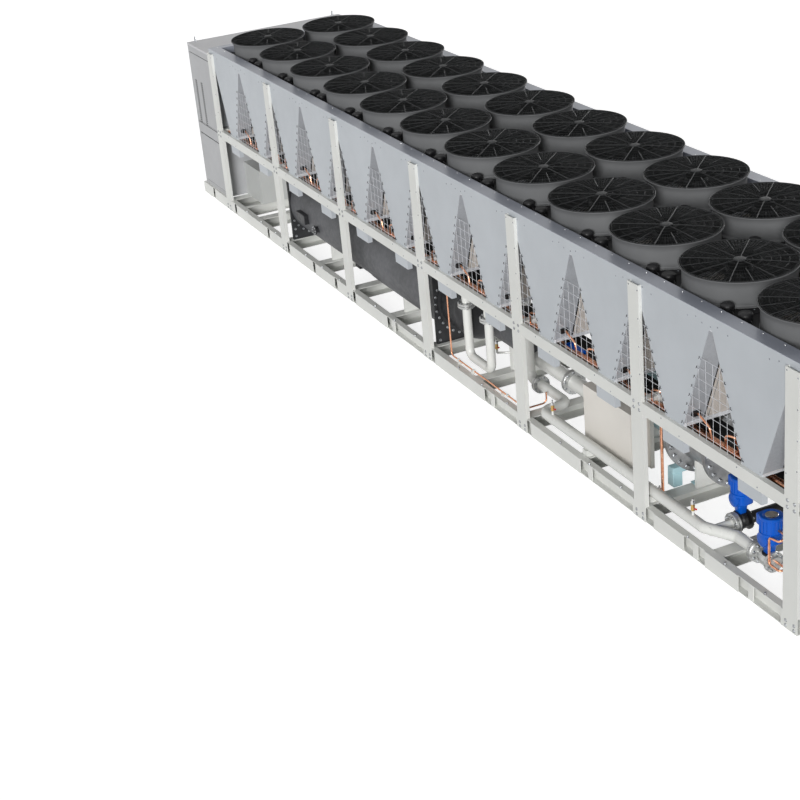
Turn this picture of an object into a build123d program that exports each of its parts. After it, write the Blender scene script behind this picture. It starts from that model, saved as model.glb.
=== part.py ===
from build123d import *
import math
import os

# Air-cooled water chiller: a steel frame on a channel base, twelve V coil
# modules under a roof deck with two rows of fans, a control cabinet across one
# end, and the evaporator, pipes, valves and compressor in the open lower half.
# Millimetres. +X runs from the control cabinet to the pipe end, +Z is up, the
# origin is on the ground below the middle of the whole machine.

# Layout along the machine, counted in stations from the first post
bay_count = 6
bay = 2240.0
module_pitch = bay / 2
module_count = 2 * bay_count
cabinet_length = 1035.0

# Layout across the machine
half_width = 1225.0
frame_proud = 35.0
fan_row = 541.0

# Heights above the ground
base_height = 160.0
mid_rail_bottom = 1100.0
mid_rail_height = 120.0
post_top = 2333.0
sheet_top = 2386.0
gap_apex = 2264.0
deck_top = 2300.0
cabinet_top = 2300.0
leg_bottom = 955.0

# Frame sections
plate = 8.0
rail_flange = 70.0
post_lower_width = 190.0
post_upper_width = 170.0
post_lower_depth = 45.0
mid_flange = 55.0
cross_width = 150.0
narrow_cross_width = 80.0
narrow_cross_place = 500.0
mid_beam_width = 80.0
sheet = 4.0
bolt_radius = 11.0
bolt_head = 8.0
bolt_spread = 60.0

# Open pockets along the outer face of the base rails, between its cover plates
short_pocket = 90.0
short_pockets = (-720.0, 235.0, 1574.0, 2335.0, 3255.0, 3987.0, 4575.0, 6815.0, 9055.0)
long_pockets = ((5602.0, 6600.0), (8113.0, 8840.0), (10127.0, 11080.0), (11295.0, 11430.0),
                (11915.0, 12240.0), (12729.0, 13320.0))
lug_setback = 135.0
lug_width = 70.0
lug_thickness = 12.0

# Roof
roof_strip = 150.0
end_strip = 140.0
tile_gap = 2.0

# Coil modules
gap_apex_half = 20.0
gap_slope = 0.39
coil_thickness = 70.0
coil_top = 2250.0
coil_pan_half = 150.0
coil_pan_height = 20.0
leg_depth = 60.0
leg_overlap = 60.0
tube_sides = 6
pipe_sides = 12
elbow_step = 30.0
flange_sides = 16
header_radius = 17.0
header_rows = ((100.0, 1170.0), (190.0, 1120.0))
branch_radius = 10.0
branch_top = 1350.0
clamp_size = 60.0
wire = 5.0
wire_pitch = 240.0
wire_top = 1985.0
wire_overhang = 30.0

# Fans
fan_sides = 16
hub_sides = 8
shroud_radius = 490.0
lip_radius = 518.0
lip_height = 60.0
shroud_wall = 12.0
shroud_height = 237.0
guard_hub_radius = 58.0
guard_hub_height = 22.0
guard_bar = 8.0
guard_bar_count = 4
motor_radius = 100.0
motor_height = 60.0
motor_shaft_radius = 25.0
motor_shaft_gap = 0.3
motor_sides = 6
rotor_hub_radius = 130.0
rotor_hub_height = 100.0
blade_count = 5
blade_tip_gap = 18.0
blade_chord = 230.0
blade_root = 40.0
blade_thickness = 8.0
blade_angle = 28.0
running_gap = 8.0
cover_sides = 6
cover_height = 85.0
cover_radii = (60.0, 66.0)
cover_places = ((392.0, -402.0), (640.0, -400.0))

# Control cabinet
cabinet_roof_thickness = 30.0
cabinet_skin = 4.0
cabinet_margin = 70.0
cabinet_seams = (220.0, 947.0, 965.0, 1115.0, 1140.0, 2170.0)
door_count = 3
door_gap = 6.0
door_setback = 25.0
handle_height = 160.0
handle_middle = 1200.0
handle_width = 30.0
handle_depth = 20.0
eye_bar = 8.0
eye_span = 56.0
eye_height = 70.0
eye_insets = (120.0, 2330.0)
eye_setback = 75.0
enclosure_length = 550.0
enclosure_insets = (300.0, 900.0)
enclosure_top = 650.0

# Evaporator
evaporator_radius = 440.0
evaporator_inset = 540.0
evaporator_height = 640.0
evaporator_start = 2420.0
evaporator_length = 4700.0
head_length = 110.0
flange_thickness = 50.0
flange_extra = 38.0
joint_place = 4760.0
course_step = 12.0
junction_span = (2650.0, 2930.0)
junction_heights = (550.0, 680.0)
junction_depth = 60.0
port_place = 3230.0
port_radius = 55.0
saddle_thickness = 30.0
saddle_half = 330.0
saddle_depth = 250.0
separator_radius = 250.0
separator_inset = 605.0
separator_height = 620.0
separator_length = 820.0
separator_member = 7

# Pipes, in stations, insets from the side sheet and heights
trap_radius = 50.0
trap_bend = 120.0
trap_inset = 200.0
trap_places = (7350.0, 7870.0)
trap_start = 6950.0
trap_top = 1051.0
trap_top_bend = 90.0
trap_bottom = 210.0
trap_flange_height = 825.0
trap_flange_radius = 100.0
pipe_flange_thickness = 26.0
liquid_radius = 54.0
liquid_bend = 110.0
liquid_inset = 90.0
liquid_height = 267.0
liquid_start = 9170.0
liquid_feed = (8620.0, 400.0)
feed_drop = 190.0
feed_bend = 100.0
liquid_offset_inset = 240.0
liquid_swerve = (12050.0, 12350.0)
liquid_end = 12600.0
branch_place = 12130.0
branch_flange_inset = 346.0
valve_flange_radius = 100.0
valve_body_radius = 75.0
main_valve_length = 240.0
branch_valve_length = 140.0
actuator_size = (220.0, 180.0, 170.0)
actuator_neck = 200.0
actuator_reach = 155.0
actuator_shift = 50.0
outlet_inset = 1500.0
drain_radius = 9.0
drain_inset = 45.0
drain_start = 7200.0
drain_end_gap = 940.0
drain_turn = 250.0
riser_place = 11255.0
riser_inset = 185.0
drain_height = 200.0
drain_rise = 320.0
clamp_places = (7390.0, 7710.0, 8400.0)
drain_clamp_size = (40.0, 30.0)
stand_width = 80.0
stand_places = (10080.0, 11200.0)
discharge_radius = 80.0
discharge_inset = 580.0
discharge_height = 390.0
discharge_turn = 9450.0
discharge_bend = 125.0
discharge_rise = 230.0
discharge_flange_place = 8980.0
discharge_flange_radius = 135.0

# Drive cabinet and compressor
drive_member = 9
drive_setback = 240.0
drive_length = 860.0
drive_inset = 200.0
drive_depth = 230.0
drive_bottom = 190.0
drive_top = 795.0
drive_back = 40.0
drive_foot = 60.0
compressor_inset = 760.0
compressor_height = 700.0
motor_case_radius = 290.0
motor_case_setback = 50.0
motor_case_length = 1060.0
casing_flange_radius = 455.0
casing_radius = 330.0
casing_length = 520.0
casing_flange_thickness = 60.0
rear_flange_share = 0.86
suction_radius = 150.0
suction_length = 260.0
foot_half = 200.0
pedestal_half = 370.0
pedestal_thickness = 100.0
pedestal_inset = 80.0

# Derived places
right_end = bay * bay_count + post_lower_width / 2
left_end = -cabinet_length - post_lower_width / 2
station_zero = -(right_end + left_end) / 2
frame_face = half_width + frame_proud
rail_face = frame_face - plate
mid_rail_top = mid_rail_bottom + mid_rail_height
coil_bottom = mid_rail_top + coil_pan_height
inner_face = half_width - sheet
strip_edge = half_width - roof_strip
rim_top = deck_top + shroud_height
rail_web = rail_face - rail_flange + plate
cross_top = base_height - plate


def station(distance):
    """X of a place measured from the first post."""
    return station_zero + distance


def inset(distance):
    """Y of a place measured inwards from the near side sheet."""
    return distance - half_width


def block(x1, x2, y1, y2, z1, z2):
    middle = Pos((x1 + x2) / 2, (y1 + y2) / 2, (z1 + z2) / 2)
    return middle * Box(abs(x2 - x1), abs(y2 - y1), abs(z2 - z1))


def both_sides(solids):
    return list(solids) + [mirror(s, about=Plane.XZ) for s in solids]


def along_y(x, y1, y2, z, radius):
    return Pos(x, (y1 + y2) / 2, z) * Rot(90, 0, 0) * Cylinder(radius, abs(y2 - y1))


def along_x(x1, x2, y, z, radius):
    return Pos((x1 + x2) / 2, y, z) * Rot(0, 90, 0) * Cylinder(radius, abs(x2 - x1))


def elbow(before, corner, after, bend):
    """Points on the arc that rounds one corner of a pipe's centre line."""
    one, two = (before - corner).normalized(), (after - corner).normalized()
    half = math.acos(max(-1.0, min(1.0, one.dot(two)))) / 2
    setback = bend / math.tan(half)
    centre = corner + (one + two).normalized() * (bend / math.sin(half))
    start, end = corner + one * setback - centre, corner + two * setback - centre
    turn = math.pi - 2 * half
    steps = max(1, round(math.degrees(turn) / elbow_step))
    points = []
    for k in range(steps + 1):
        share = turn * k / steps
        points.append(centre + start * (math.sin(turn - share) / math.sin(turn))
                      + end * (math.sin(share) / math.sin(turn)))
    return points


def pipe(points, radius, bend):
    """Pipe with many flats along straight runs and elbows made in short steps."""
    line = [Vector(*point) for point in points]
    path = [line[0]]
    for before, corner, after in zip(line, line[1:], line[2:]):
        path += elbow(before, corner, after, bend)
    path.append(line[-1])
    section = Plane(origin=path[0], z_dir=path[1] - path[0]) * RegularPolygon(radius, pipe_sides)
    return sweep(section, path=Polyline(*path), transition=Transition.RIGHT)


def tube(points, radius):
    """Thin tube with few sides and mitred corners."""
    first = Vector(*points[1]) - Vector(*points[0])
    section = Plane(origin=points[0], z_dir=first) * RegularPolygon(radius, tube_sides)
    return sweep(section, path=Polyline(*points), transition=Transition.RIGHT)


def save(name, solids):
    shapes = []
    for item in solids:
        shapes.extend(item.solids())
    export_step(Compound(children=shapes), os.path.join("parts", name + ".step"))


def gap_half(z):
    """Half the width of the open triangle between two coil modules."""
    return gap_apex_half + (gap_apex - z) * gap_slope


# Frame


def base_rails():
    """Channels whose open side faces out and is closed by the cover plates."""
    x1, x2 = station(left_end), station(right_end)
    web = block(x1, x2, -rail_web, -rail_web + plate, 0, base_height)
    top = block(x1, x2, -rail_face, -rail_web, base_height - plate, base_height)
    foot = block(x1, x2, -rail_face, -rail_web, 0, plate)
    return both_sides([web + top + foot])


def cover_spans():
    """Stations between which a cover plate closes the base rail."""
    pockets = [(place, place + short_pocket) for place in short_pockets] + list(long_pockets)
    edges = [left_end]
    for n in range(bay_count + 1):
        pockets.append((n * bay - post_lower_width / 2, n * bay + post_lower_width / 2))
    for start, end in sorted(pockets):
        edges += [start, end]
    edges.append(right_end)
    spans = zip(edges[0::2], edges[1::2])
    return [(start, end) for start, end in spans if end - start > plate]


def base_cover_plates():
    covers = []
    for start, end in cover_spans():
        covers.append(block(station(start), station(end), -frame_face, -rail_face, 0, base_height))
    return both_sides(covers)


def base_lugs():
    """Upright lug plates inside the pockets of the base rails."""
    places = [start + lug_setback for start, end in long_pockets if end - start > 2 * lug_setback]
    lugs = []
    for place in places:
        x1 = station(place)
        lugs.append(block(x1, x1 + lug_width, -rail_face, -rail_face + lug_thickness,
                          plate, base_height - plate))
    return both_sides(lugs)


def base_cross_members():
    places = [(k * module_pitch, cross_width) for k in range(module_count)]
    places.append((right_end - cross_width / 2, cross_width))
    places.append((left_end + cross_width / 2, cross_width))
    places.append((narrow_cross_place, narrow_cross_width))
    reach = rail_web - plate
    members = []
    for place, width in places:
        x1, x2 = station(place) - width / 2, station(place) + width / 2
        web = block(x1, x1 + plate, -reach, reach, plate, cross_top)
        top = block(x1, x2, -reach, reach, cross_top - plate, cross_top)
        foot = block(x1, x2, -reach, reach, plate, 2 * plate)
        members.append(web + top + foot)
    return members


def channel_post(x, width, depth, z1, z2, foot_z):
    """Upright channel, open inwards, whose face runs down to foot_z."""
    half = width / 2
    face = block(x - half, x + half, -frame_face, -rail_face, foot_z, z2)
    back = -frame_face + depth
    sides = [
        block(x + side * half, x + side * (half - plate), -frame_face, back, z1, z2)
        for side in (-1, 1)
    ]
    return face + sides[0] + sides[1]


def side_posts():
    posts = []
    for n in range(bay_count + 1):
        x = station(n * bay)
        posts.append(
            channel_post(x, post_lower_width, post_lower_depth, base_height, mid_rail_bottom, 0)
        )
        posts.append(
            channel_post(x, post_upper_width, frame_proud, mid_rail_top, post_top, mid_rail_top)
        )
    return both_sides(posts)


def mid_rails():
    x1, x2 = station(-post_lower_width / 2), station(right_end)
    outer, inner = -frame_face, -frame_face + mid_flange
    web = block(x1, x2, outer, outer + plate, mid_rail_bottom, mid_rail_top)
    top = block(x1, x2, outer, inner, mid_rail_top - plate, mid_rail_top)
    foot = block(x1, x2, outer, inner, mid_rail_bottom, mid_rail_bottom + plate)
    return both_sides([web + top + foot])


def mid_cross_beams():
    half = mid_beam_width / 2
    reach = rail_face
    places = [n * bay for n in range(bay_count + 1)]
    beams = []
    for place in places:
        x = station(place)
        beams.append(
            block(x - half, x + half, -reach, reach, mid_rail_bottom + plate, mid_rail_top - plate)
        )
    return beams


def frame_bolts():
    """Hexagon bolt heads where the mid rail crosses each post."""
    z = mid_rail_bottom + mid_rail_height / 2
    head = extrude(RegularPolygon(bolt_radius, 6), bolt_head)
    bolts = []
    for n in range(bay_count + 1):
        for side in (-1, 1):
            x = min(station(n * bay) + side * bolt_spread, station(right_end) - bolt_radius)
            bolts.append(Pos(x, -frame_face, z) * Rot(90, 0, 0) * head)
    return both_sides(bolts)


# Coil modules


def module_centres():
    return [station((k + 0.5) * module_pitch) for k in range(module_count)]


def coil_end_panels():
    """Side sheet: a band along the top and one blunt V below it per module."""
    left, right = station(-post_lower_width / 2), station(right_end)
    panel = block(left, right, -half_width, -inner_face, gap_apex, sheet_top)
    top_half = module_pitch / 2 - gap_half(gap_apex)
    low_half = module_pitch / 2 - gap_half(mid_rail_top)
    front = Plane(origin=(0, -inner_face, 0), x_dir=(1, 0, 0), z_dir=(0, -1, 0))
    for x in module_centres():
        outline = Polyline(
            (x - top_half, gap_apex),
            (x + top_half, gap_apex),
            (x + low_half, mid_rail_top),
            (x - low_half, mid_rail_top),
            close=True,
        )
        panel += extrude(front * make_face(outline), sheet)
    return [panel]


def module_legs():
    """Folded leg below the mid rail at the foot of each V, open at the back."""
    legs = []
    half = module_pitch / 2 - gap_half(mid_rail_top)
    for x in module_centres():
        face = block(x - half - leg_overlap, x + half, -half_width, -inner_face,
                     leg_bottom, mid_rail_bottom)
        side = block(x + half - sheet, x + half, -half_width, leg_depth - half_width,
                     leg_bottom, mid_rail_bottom)
        legs.append(face + side)
    return both_sides(legs)


def gap_centres():
    """Stations of the open triangles, without the halves at the two ends."""
    return [k * module_pitch for k in range(1, module_count)]


def gap_guards():
    """Level guard wires across each gap, on the face of the side sheet."""
    wires = []
    for place in gap_centres():
        z = mid_rail_top + wire_pitch / 2
        while z < wire_top:
            half = gap_half(z) + wire_overhang
            if abs(place % bay) < 1.0:
                for side in (-1, 1):
                    x1 = station(place) + side * post_upper_width / 2
                    x2 = station(place) + side * half
                    if half > post_upper_width / 2 + wire_overhang:
                        wires.append(block(x1, x2, -half_width - wire, -half_width, z, z + wire))
            else:
                x = station(place)
                wires.append(block(x - half, x + half, -half_width - wire, -half_width, z, z + wire))
            z += wire_pitch
    return wires


def coil_headers():
    """Copper mains below the modules, one length between two cross beams."""
    mains = []
    half = mid_beam_width / 2
    for inset_y, z in header_rows:
        for n in range(bay_count):
            x1, x2 = station(n * bay + half), station((n + 1) * bay - half)
            mains.append(tube([(x1, inset(inset_y), z), (x2, inset(inset_y), z)], header_radius))
    return mains


def header_branches():
    """Copper tube from a clamp on the coil down to the upper main, one per gap."""
    tubes = []
    y = inset(header_rows[0][0])
    low = header_rows[0][1] + header_radius * math.cos(math.pi / tube_sides)
    for place in gap_centres():
        x1 = station(place) - gap_half(branch_top) + branch_radius
        x2 = x1 + 2 * header_radius
        x3 = x1 + clamp_size * 3
        tubes.append(tube([(x1, y, branch_top), (x2, y, branch_top - header_radius),
                           (x3, y, branch_top - clamp_size), (x3, y, low)], branch_radius))
    return tubes


def condenser_coils():
    slabs = []
    run = coil_thickness * math.hypot(1, gap_slope)
    for x in module_centres():
        for side in (-1, 1):
            edge = module_pitch / 2
            outline = Polyline(
                (x + side * (edge - gap_half(coil_top)), coil_top),
                (x + side * (edge - gap_half(coil_top) - run), coil_top),
                (x + side * (edge - gap_half(coil_bottom) - run), coil_bottom),
                (x + side * (edge - gap_half(coil_bottom)), coil_bottom),
                close=True,
            )
            front = Plane(origin=(0, -inner_face, 0), x_dir=(1, 0, 0), z_dir=(0, -1, 0))
            slabs.append(extrude(front * make_face(outline), -2 * inner_face))
    return slabs


def coil_pans():
    pans = []
    for x in module_centres():
        x1, x2 = x - coil_pan_half, x + coil_pan_half
        pans.append(block(x1, x2, -inner_face, inner_face, mid_rail_top, coil_bottom))
    return pans


def coil_top_rails():
    rails = []
    half = gap_half(coil_top) + coil_thickness
    for k in range(module_count + 1):
        x = station(k * module_pitch)
        x1 = max(x - half, station(-post_lower_width / 2 + sheet))
        x2 = min(x + half, station(right_end - sheet))
        rails.append(block(x1, x2, -inner_face, inner_face, coil_top, deck_top - plate))
    return rails


def roof_edge_strips():
    """Flat strips round the fan deck, each with a skirt that meets the deck."""
    x1, x2 = station(-post_lower_width / 2), station(right_end)
    top = sheet_top + sheet
    long_strip = block(x1, x2, -half_width, -strip_edge, sheet_top, top)
    long_strip += block(x1 + sheet, x2 - sheet, -strip_edge - sheet, -strip_edge, deck_top - plate, top)
    ends = []
    for x, sign in ((x1, 1), (x2, -1)):
        far = x + sign * end_strip
        strip = block(x, far, -strip_edge, strip_edge, sheet_top, top)
        strip += block(far - sign * sheet, far, -strip_edge, strip_edge, deck_top - plate, top)
        ends.append(strip)
    return both_sides([long_strip]) + ends


def fan_deck():
    """One square tile with a round mouth for each fan."""
    tiles = []
    mouth = shroud_radius - shroud_wall
    first, last = station(-post_lower_width / 2) + end_strip, station(right_end) - end_strip
    for row in (-1, 1):
        for k in range(module_count):
            x1 = max(station(k * module_pitch) + tile_gap / 2, first)
            x2 = min(station((k + 1) * module_pitch) - tile_gap / 2, last)
            y1, y2 = sorted((row * tile_gap / 2, row * strip_edge))
            tile = block(x1, x2, y1, y2, deck_top - plate, deck_top)
            hole = extrude(RegularPolygon(mouth, fan_sides), plate)
            tile -= Pos(station((k + 0.5) * module_pitch), row * fan_row, deck_top - plate) * hole
            tiles.append(tile)
    return tiles


def end_sheets():
    """Closing sheets above the mid rail at the two ends of the coil section."""
    sheets = []
    for place, sign in ((-post_lower_width / 2, 1), (right_end, -1)):
        x1 = station(place)
        sheets.append(
            block(x1, x1 + sign * sheet, -inner_face, inner_face, mid_rail_top, sheet_top)
        )
    return sheets


# Fans


def fan_places():
    places = []
    for row, side in (("near", -1), ("far", 1)):
        for k in range(module_count):
            places.append((row, k + 1, station((k + 0.5) * module_pitch), side * fan_row))
    return places


def prism(radius, sides, z1, z2):
    """Upright prism with a flat side towards +X, measured across its corners."""
    return Pos(0, 0, z1) * extrude(RegularPolygon(radius, sides), z2 - z1)


def flare(radius1, radius2, z1, z2):
    low = Pos(0, 0, z1) * RegularPolygon(radius1, fan_sides)
    high = Pos(0, 0, z2) * RegularPolygon(radius2, fan_sides)
    return loft([low, high])


def fan_shroud():
    """Tall outlet ring that stands on the deck and flares at its lip."""
    neck = shroud_height - lip_height
    outer = prism(shroud_radius, fan_sides, 0, neck)
    outer += flare(shroud_radius, lip_radius, neck, shroud_height)
    return outer - prism(shroud_radius - shroud_wall, fan_sides, 0, shroud_height)


def fan_guard():
    """Hub disc with bars that reach over the lip of the shroud."""
    guard = Rot(0, 0, 180 / hub_sides) * prism(guard_hub_radius, hub_sides, 0, guard_hub_height)
    reach = lip_radius * math.cos(math.pi / fan_sides)
    for k in range(guard_bar_count):
        bar = block(0, reach, -guard_bar / 2, guard_bar / 2, 0, guard_bar)
        guard += Rot(0, 0, 360 * k / guard_bar_count) * bar
    return guard


def fan_motor():
    """Motor below the guard hub; its shaft ends just above the rotor."""
    motor = prism(motor_radius, motor_sides, -motor_height, 0)
    shaft_end = -motor_height - running_gap + motor_shaft_gap
    return motor + prism(motor_shaft_radius, hub_sides // 2, shaft_end, -motor_height)


def fan_rotor():
    """Hub with one flat per pitched blade, its top at height 0."""
    rotor = prism(rotor_hub_radius, blade_count, -rotor_hub_height, 0)
    rotor = Rot(0, 0, 180 / blade_count) * rotor
    tip = (shroud_radius - shroud_wall) * math.cos(math.pi / fan_sides) - blade_tip_gap
    flat = math.sqrt(tip ** 2 - (blade_chord / 2) ** 2)
    outline = Polyline((0, -blade_root / 2), (flat, -blade_chord / 2), (flat, blade_chord / 2),
                       (0, blade_root / 2), close=True)
    blade = Pos(0, 0, -blade_thickness / 2) * extrude(make_face(outline), blade_thickness)
    blade = Pos(0, 0, -rotor_hub_height / 2) * Rot(blade_angle, 0, 0) * blade
    for k in range(blade_count):
        rotor += Rot(0, 0, 360 * k / blade_count) * blade
    return rotor


def at_fans(shape, z):
    return [Pos(x, y, z) * shape for _, _, x, y in fan_places()]


def save_rotors():
    rotor = fan_rotor()
    top = rim_top - motor_height - running_gap
    for row, number, x, y in fan_places():
        save(f"fan_rotor_{row}_{number:02d}", [Pos(x, y, top) * rotor])


def terminal_covers():
    """Two small drums on the deck beside each shroud, one past the last fan left out."""
    covers = []
    for _, _, x, y in fan_places():
        for radius, (dx, dy) in zip(cover_radii, cover_places):
            if x + dx + radius < station(right_end) - end_strip:
                covers.append(Pos(x + dx, y + dy, deck_top) * prism(radius, cover_sides, 0, cover_height))
    return covers


# Control cabinet


def cabinet_body():
    x1, x2 = station(left_end) + door_setback, station(-post_lower_width / 2)
    reach = half_width - cabinet_skin
    top = cabinet_top - cabinet_roof_thickness
    return [block(x1 + cabinet_skin, x2, -reach, reach, base_height, top)]


def cabinet_roof():
    x1, x2 = station(left_end) + door_setback, station(-post_lower_width / 2)
    top = cabinet_top - cabinet_roof_thickness
    return [block(x1, x2, -half_width, half_width, top, cabinet_top)]


def cabinet_side_panels():
    """Skins on the two sides: a lower panel, a rail between and a louvred one."""
    x1 = station(left_end + door_setback + cabinet_skin)
    x2 = station(-post_lower_width / 2)
    panels = []
    for low, high in zip(cabinet_seams[0::2], cabinet_seams[1::2]):
        panels.append(block(x1 + cabinet_margin, x2 - cabinet_margin,
                            -half_width, -half_width + cabinet_skin, low, high))
    return both_sides(panels)


def cabinet_doors():
    """Doors across the end face, kept shut, each with an upright handle."""
    span = 2 * (half_width - cabinet_margin)
    width = (span - door_gap * (door_count - 1)) / door_count
    x1 = station(left_end) + door_setback
    doors = []
    for n in range(door_count):
        y1 = -span / 2 + n * (width + door_gap)
        door = block(x1, x1 + cabinet_skin, y1, y1 + width, cabinet_seams[0], cabinet_seams[-1])
        y2 = y1 + width - cabinet_margin
        z = handle_middle - handle_height / 2
        door += block(x1 - handle_depth, x1, y2, y2 + handle_width, z, z + handle_height)
        doors.append(door)
    return doors


def lifting_eyes():
    eyes = []
    half = eye_span / 2
    for place in eye_insets:
        x, y = station(left_end + eye_setback), inset(place)
        points = [
            (x - half, y, cabinet_top),
            (x - half, y, cabinet_top + eye_height),
            (x + half, y, cabinet_top + eye_height),
            (x + half, y, cabinet_top),
        ]
        eyes.append(tube(points, eye_bar))
    return eyes


def electrical_enclosure():
    x1 = station(-post_lower_width / 2)
    y1, y2 = inset(enclosure_insets[0]), inset(enclosure_insets[1])
    return [block(x1, station(enclosure_length), y1, y2, cross_top, enclosure_top)]


# Vessels


def evaporator_shell():
    """Shell in two courses, the second one slightly thicker than the first."""
    x1, x2 = station(evaporator_start), station(joint_place)
    y, z = inset(evaporator_inset), evaporator_height
    shell = along_x(x1, x2, y, z, evaporator_radius)
    shell += along_x(x2, x1 + evaporator_length, y, z, evaporator_radius + course_step)
    return [shell]


def evaporator_heads():
    """Low dished heads at both ends of the shell."""
    y, z = inset(evaporator_inset), evaporator_height
    heads = []
    for place, sign in ((evaporator_start - flange_thickness, -1),
                        (evaporator_start + evaporator_length + flange_thickness, 1)):
        profile = Polyline((0, 0), (evaporator_radius, 0), (evaporator_radius * 0.9, head_length / 2),
                           (evaporator_radius * 0.6, head_length * 0.9), (0, head_length), close=True)
        head = revolve(Plane.XZ * make_face(profile), Axis.Z)
        heads.append(Pos(station(place), y, z) * Rot(0, 90 * sign, 0) * head)
    return heads


def evaporator_flanges():
    """Bolted rings at both ends of the shell."""
    y, z = inset(evaporator_inset), evaporator_height
    radius = evaporator_radius + flange_extra
    end = evaporator_start + evaporator_length
    rings = []
    for first, last in ((evaporator_start - flange_thickness, evaporator_start),
                        (end, end + flange_thickness)):
        rings.append(along_x(station(first), station(last), y, z, radius))
    return rings


def evaporator_fittings():
    """Junction box and capped port on the near side of the first course."""
    x1, x2 = station(junction_span[0]), station(junction_span[1])
    y = inset(evaporator_inset)
    front = y - evaporator_radius - junction_depth
    box = block(x1, x2, front, y, *junction_heights)
    z = (junction_heights[0] + junction_heights[1]) / 2 - port_radius
    port = along_y(station(port_place), front + junction_depth / 2, y, z, port_radius)
    return [box - evaporator_shell()[0], port - evaporator_shell()[0]]


def evaporator_saddles():
    saddles = []
    y, half = inset(evaporator_inset), saddle_half
    for k in (3, 5):
        x = station(k * module_pitch)
        body = block(x - saddle_thickness / 2, x + saddle_thickness / 2, y - half, y + half,
                     cross_top, evaporator_height - saddle_depth)
        body -= evaporator_shell()[0]
        saddles.append(body)
    return saddles


def separator_vessel():
    """Separator behind the suction trap, centred on the cross member that carries it."""
    x = station(separator_member * module_pitch)
    y, z = inset(separator_inset), separator_height
    return [along_x(x - separator_length / 2, x + separator_length / 2, y, z, separator_radius)]


def separator_foot():
    y, z = inset(separator_inset), separator_height
    x, half = station(separator_member * module_pitch), separator_radius * 0.6
    foot = block(x - saddle_thickness, x + saddle_thickness, y - half, y + half, cross_top,
                 z - separator_radius * 0.6)
    return [foot - separator_vessel()[0]]


# Pipework


def suction_trap():
    """Pipe from the top of the evaporator down through a trap into the separator."""
    y = inset(trap_inset)
    xa, xb = station(trap_places[0]), station(trap_places[1])
    riser = trap_flange_height + pipe_flange_thickness + trap_bend + trap_radius / 2
    back = inset(separator_inset)
    points = [
        (station(trap_start), y, evaporator_height + evaporator_radius / 2),
        (station(trap_start), y, trap_top),
        (xa, y, trap_top),
        (xa, y, trap_bottom),
        (xb, y, trap_bottom),
        (xb, y, riser),
        (xb, back, riser),
        (xb, back, separator_height),
    ]
    return [pipe(points, trap_radius, trap_top_bend) - evaporator_shell()[0] - separator_vessel()[0]]


def disc_flange(axis, x, y, z, radius):
    """Pair of blind flanges, drawn as one disc square to the given axis."""
    disc = extrude(RegularPolygon(radius, flange_sides), pipe_flange_thickness, both=True)
    turn = {"x": Rot(0, 90, 0), "y": Rot(90, 0, 0), "z": Rot(0, 0, 0)}[axis]
    return Pos(x, y, z) * turn * disc


def trap_flanges():
    y = inset(trap_inset)
    trap = suction_trap()[0]
    return [
        disc_flange("z", station(place), y, trap_flange_height, trap_flange_radius) - trap
        for place in trap_places
    ]


def liquid_pipe():
    """Long pipe just inside the side, from the feed flange to the main valve."""
    feed_x, feed_y = liquid_feed
    a, b = liquid_swerve
    high, low = liquid_inset, liquid_offset_inset
    points = [
        (station(feed_x), inset(feed_y), liquid_height),
        (station(liquid_start), inset(feed_y), liquid_height),
        (station(liquid_start), inset(high), liquid_height),
        (station(a), inset(high), liquid_height),
        (station(b), inset(low), liquid_height),
        (station(liquid_end), inset(low), liquid_height),
    ]
    branch = along_y(station(branch_place), inset(high) + liquid_radius,
                     inset(branch_flange_inset) - pipe_flange_thickness, liquid_height,
                     liquid_radius * 0.8)
    return [pipe(points, liquid_radius, liquid_bend) + branch]


def pipe_flanges():
    """Paired flanges on the liquid line, at the feed, the branch and the valve."""
    feed_x, feed_y = liquid_feed
    return [
        disc_flange("x", station(feed_x) - pipe_flange_thickness, inset(feed_y), liquid_height,
                    valve_flange_radius),
        disc_flange("x", station(liquid_end) + pipe_flange_thickness, inset(liquid_offset_inset),
                    liquid_height, valve_flange_radius),
        disc_flange("y", station(branch_place), inset(branch_flange_inset), liquid_height,
                    valve_flange_radius),
    ]


def feed_line():
    """Line that comes down from the mid rail and meets the feed flange."""
    feed_x, feed_y = liquid_feed
    x1 = station(feed_x) - 2 * pipe_flange_thickness
    y = inset(feed_y)
    points = [(x1, y, liquid_height), (x1 - feed_drop, y, liquid_height),
              (x1 - feed_drop, y, mid_rail_top)]
    return [pipe(points, liquid_radius, feed_bend)]


def discharge_line():
    """Wide pipe from the end of the separator to the near end of the motor."""
    x1 = station(separator_member * module_pitch) + separator_length / 2
    x2 = station(discharge_turn)
    y, z = inset(discharge_inset), discharge_height
    motor_y = inset(compressor_inset)
    points = [(x1, y, z), (x2, y, z), (x2, motor_y, z + discharge_rise),
              (motor_start(), motor_y, z + discharge_rise)]
    return [pipe(points, discharge_radius, discharge_bend)]


def discharge_flange():
    x = station(discharge_flange_place)
    flange = disc_flange("x", x, inset(discharge_inset), discharge_height, discharge_flange_radius)
    return [flange - discharge_line()[0]]


def valve_bodies():
    """Castings below the two actuators, the second one with its outlet pipe."""
    x1 = station(liquid_end) + 2 * pipe_flange_thickness
    main_valve = along_x(x1, x1 + main_valve_length, inset(liquid_offset_inset), liquid_height,
                         valve_body_radius)
    y1 = inset(branch_flange_inset) + pipe_flange_thickness
    y2 = y1 + branch_valve_length
    branch_valve = along_y(station(branch_place), y1, y2, liquid_height, valve_body_radius)
    outlet = along_y(station(branch_place), y2, inset(outlet_inset), liquid_height, liquid_radius)
    return [main_valve, branch_valve + outlet]


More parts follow.
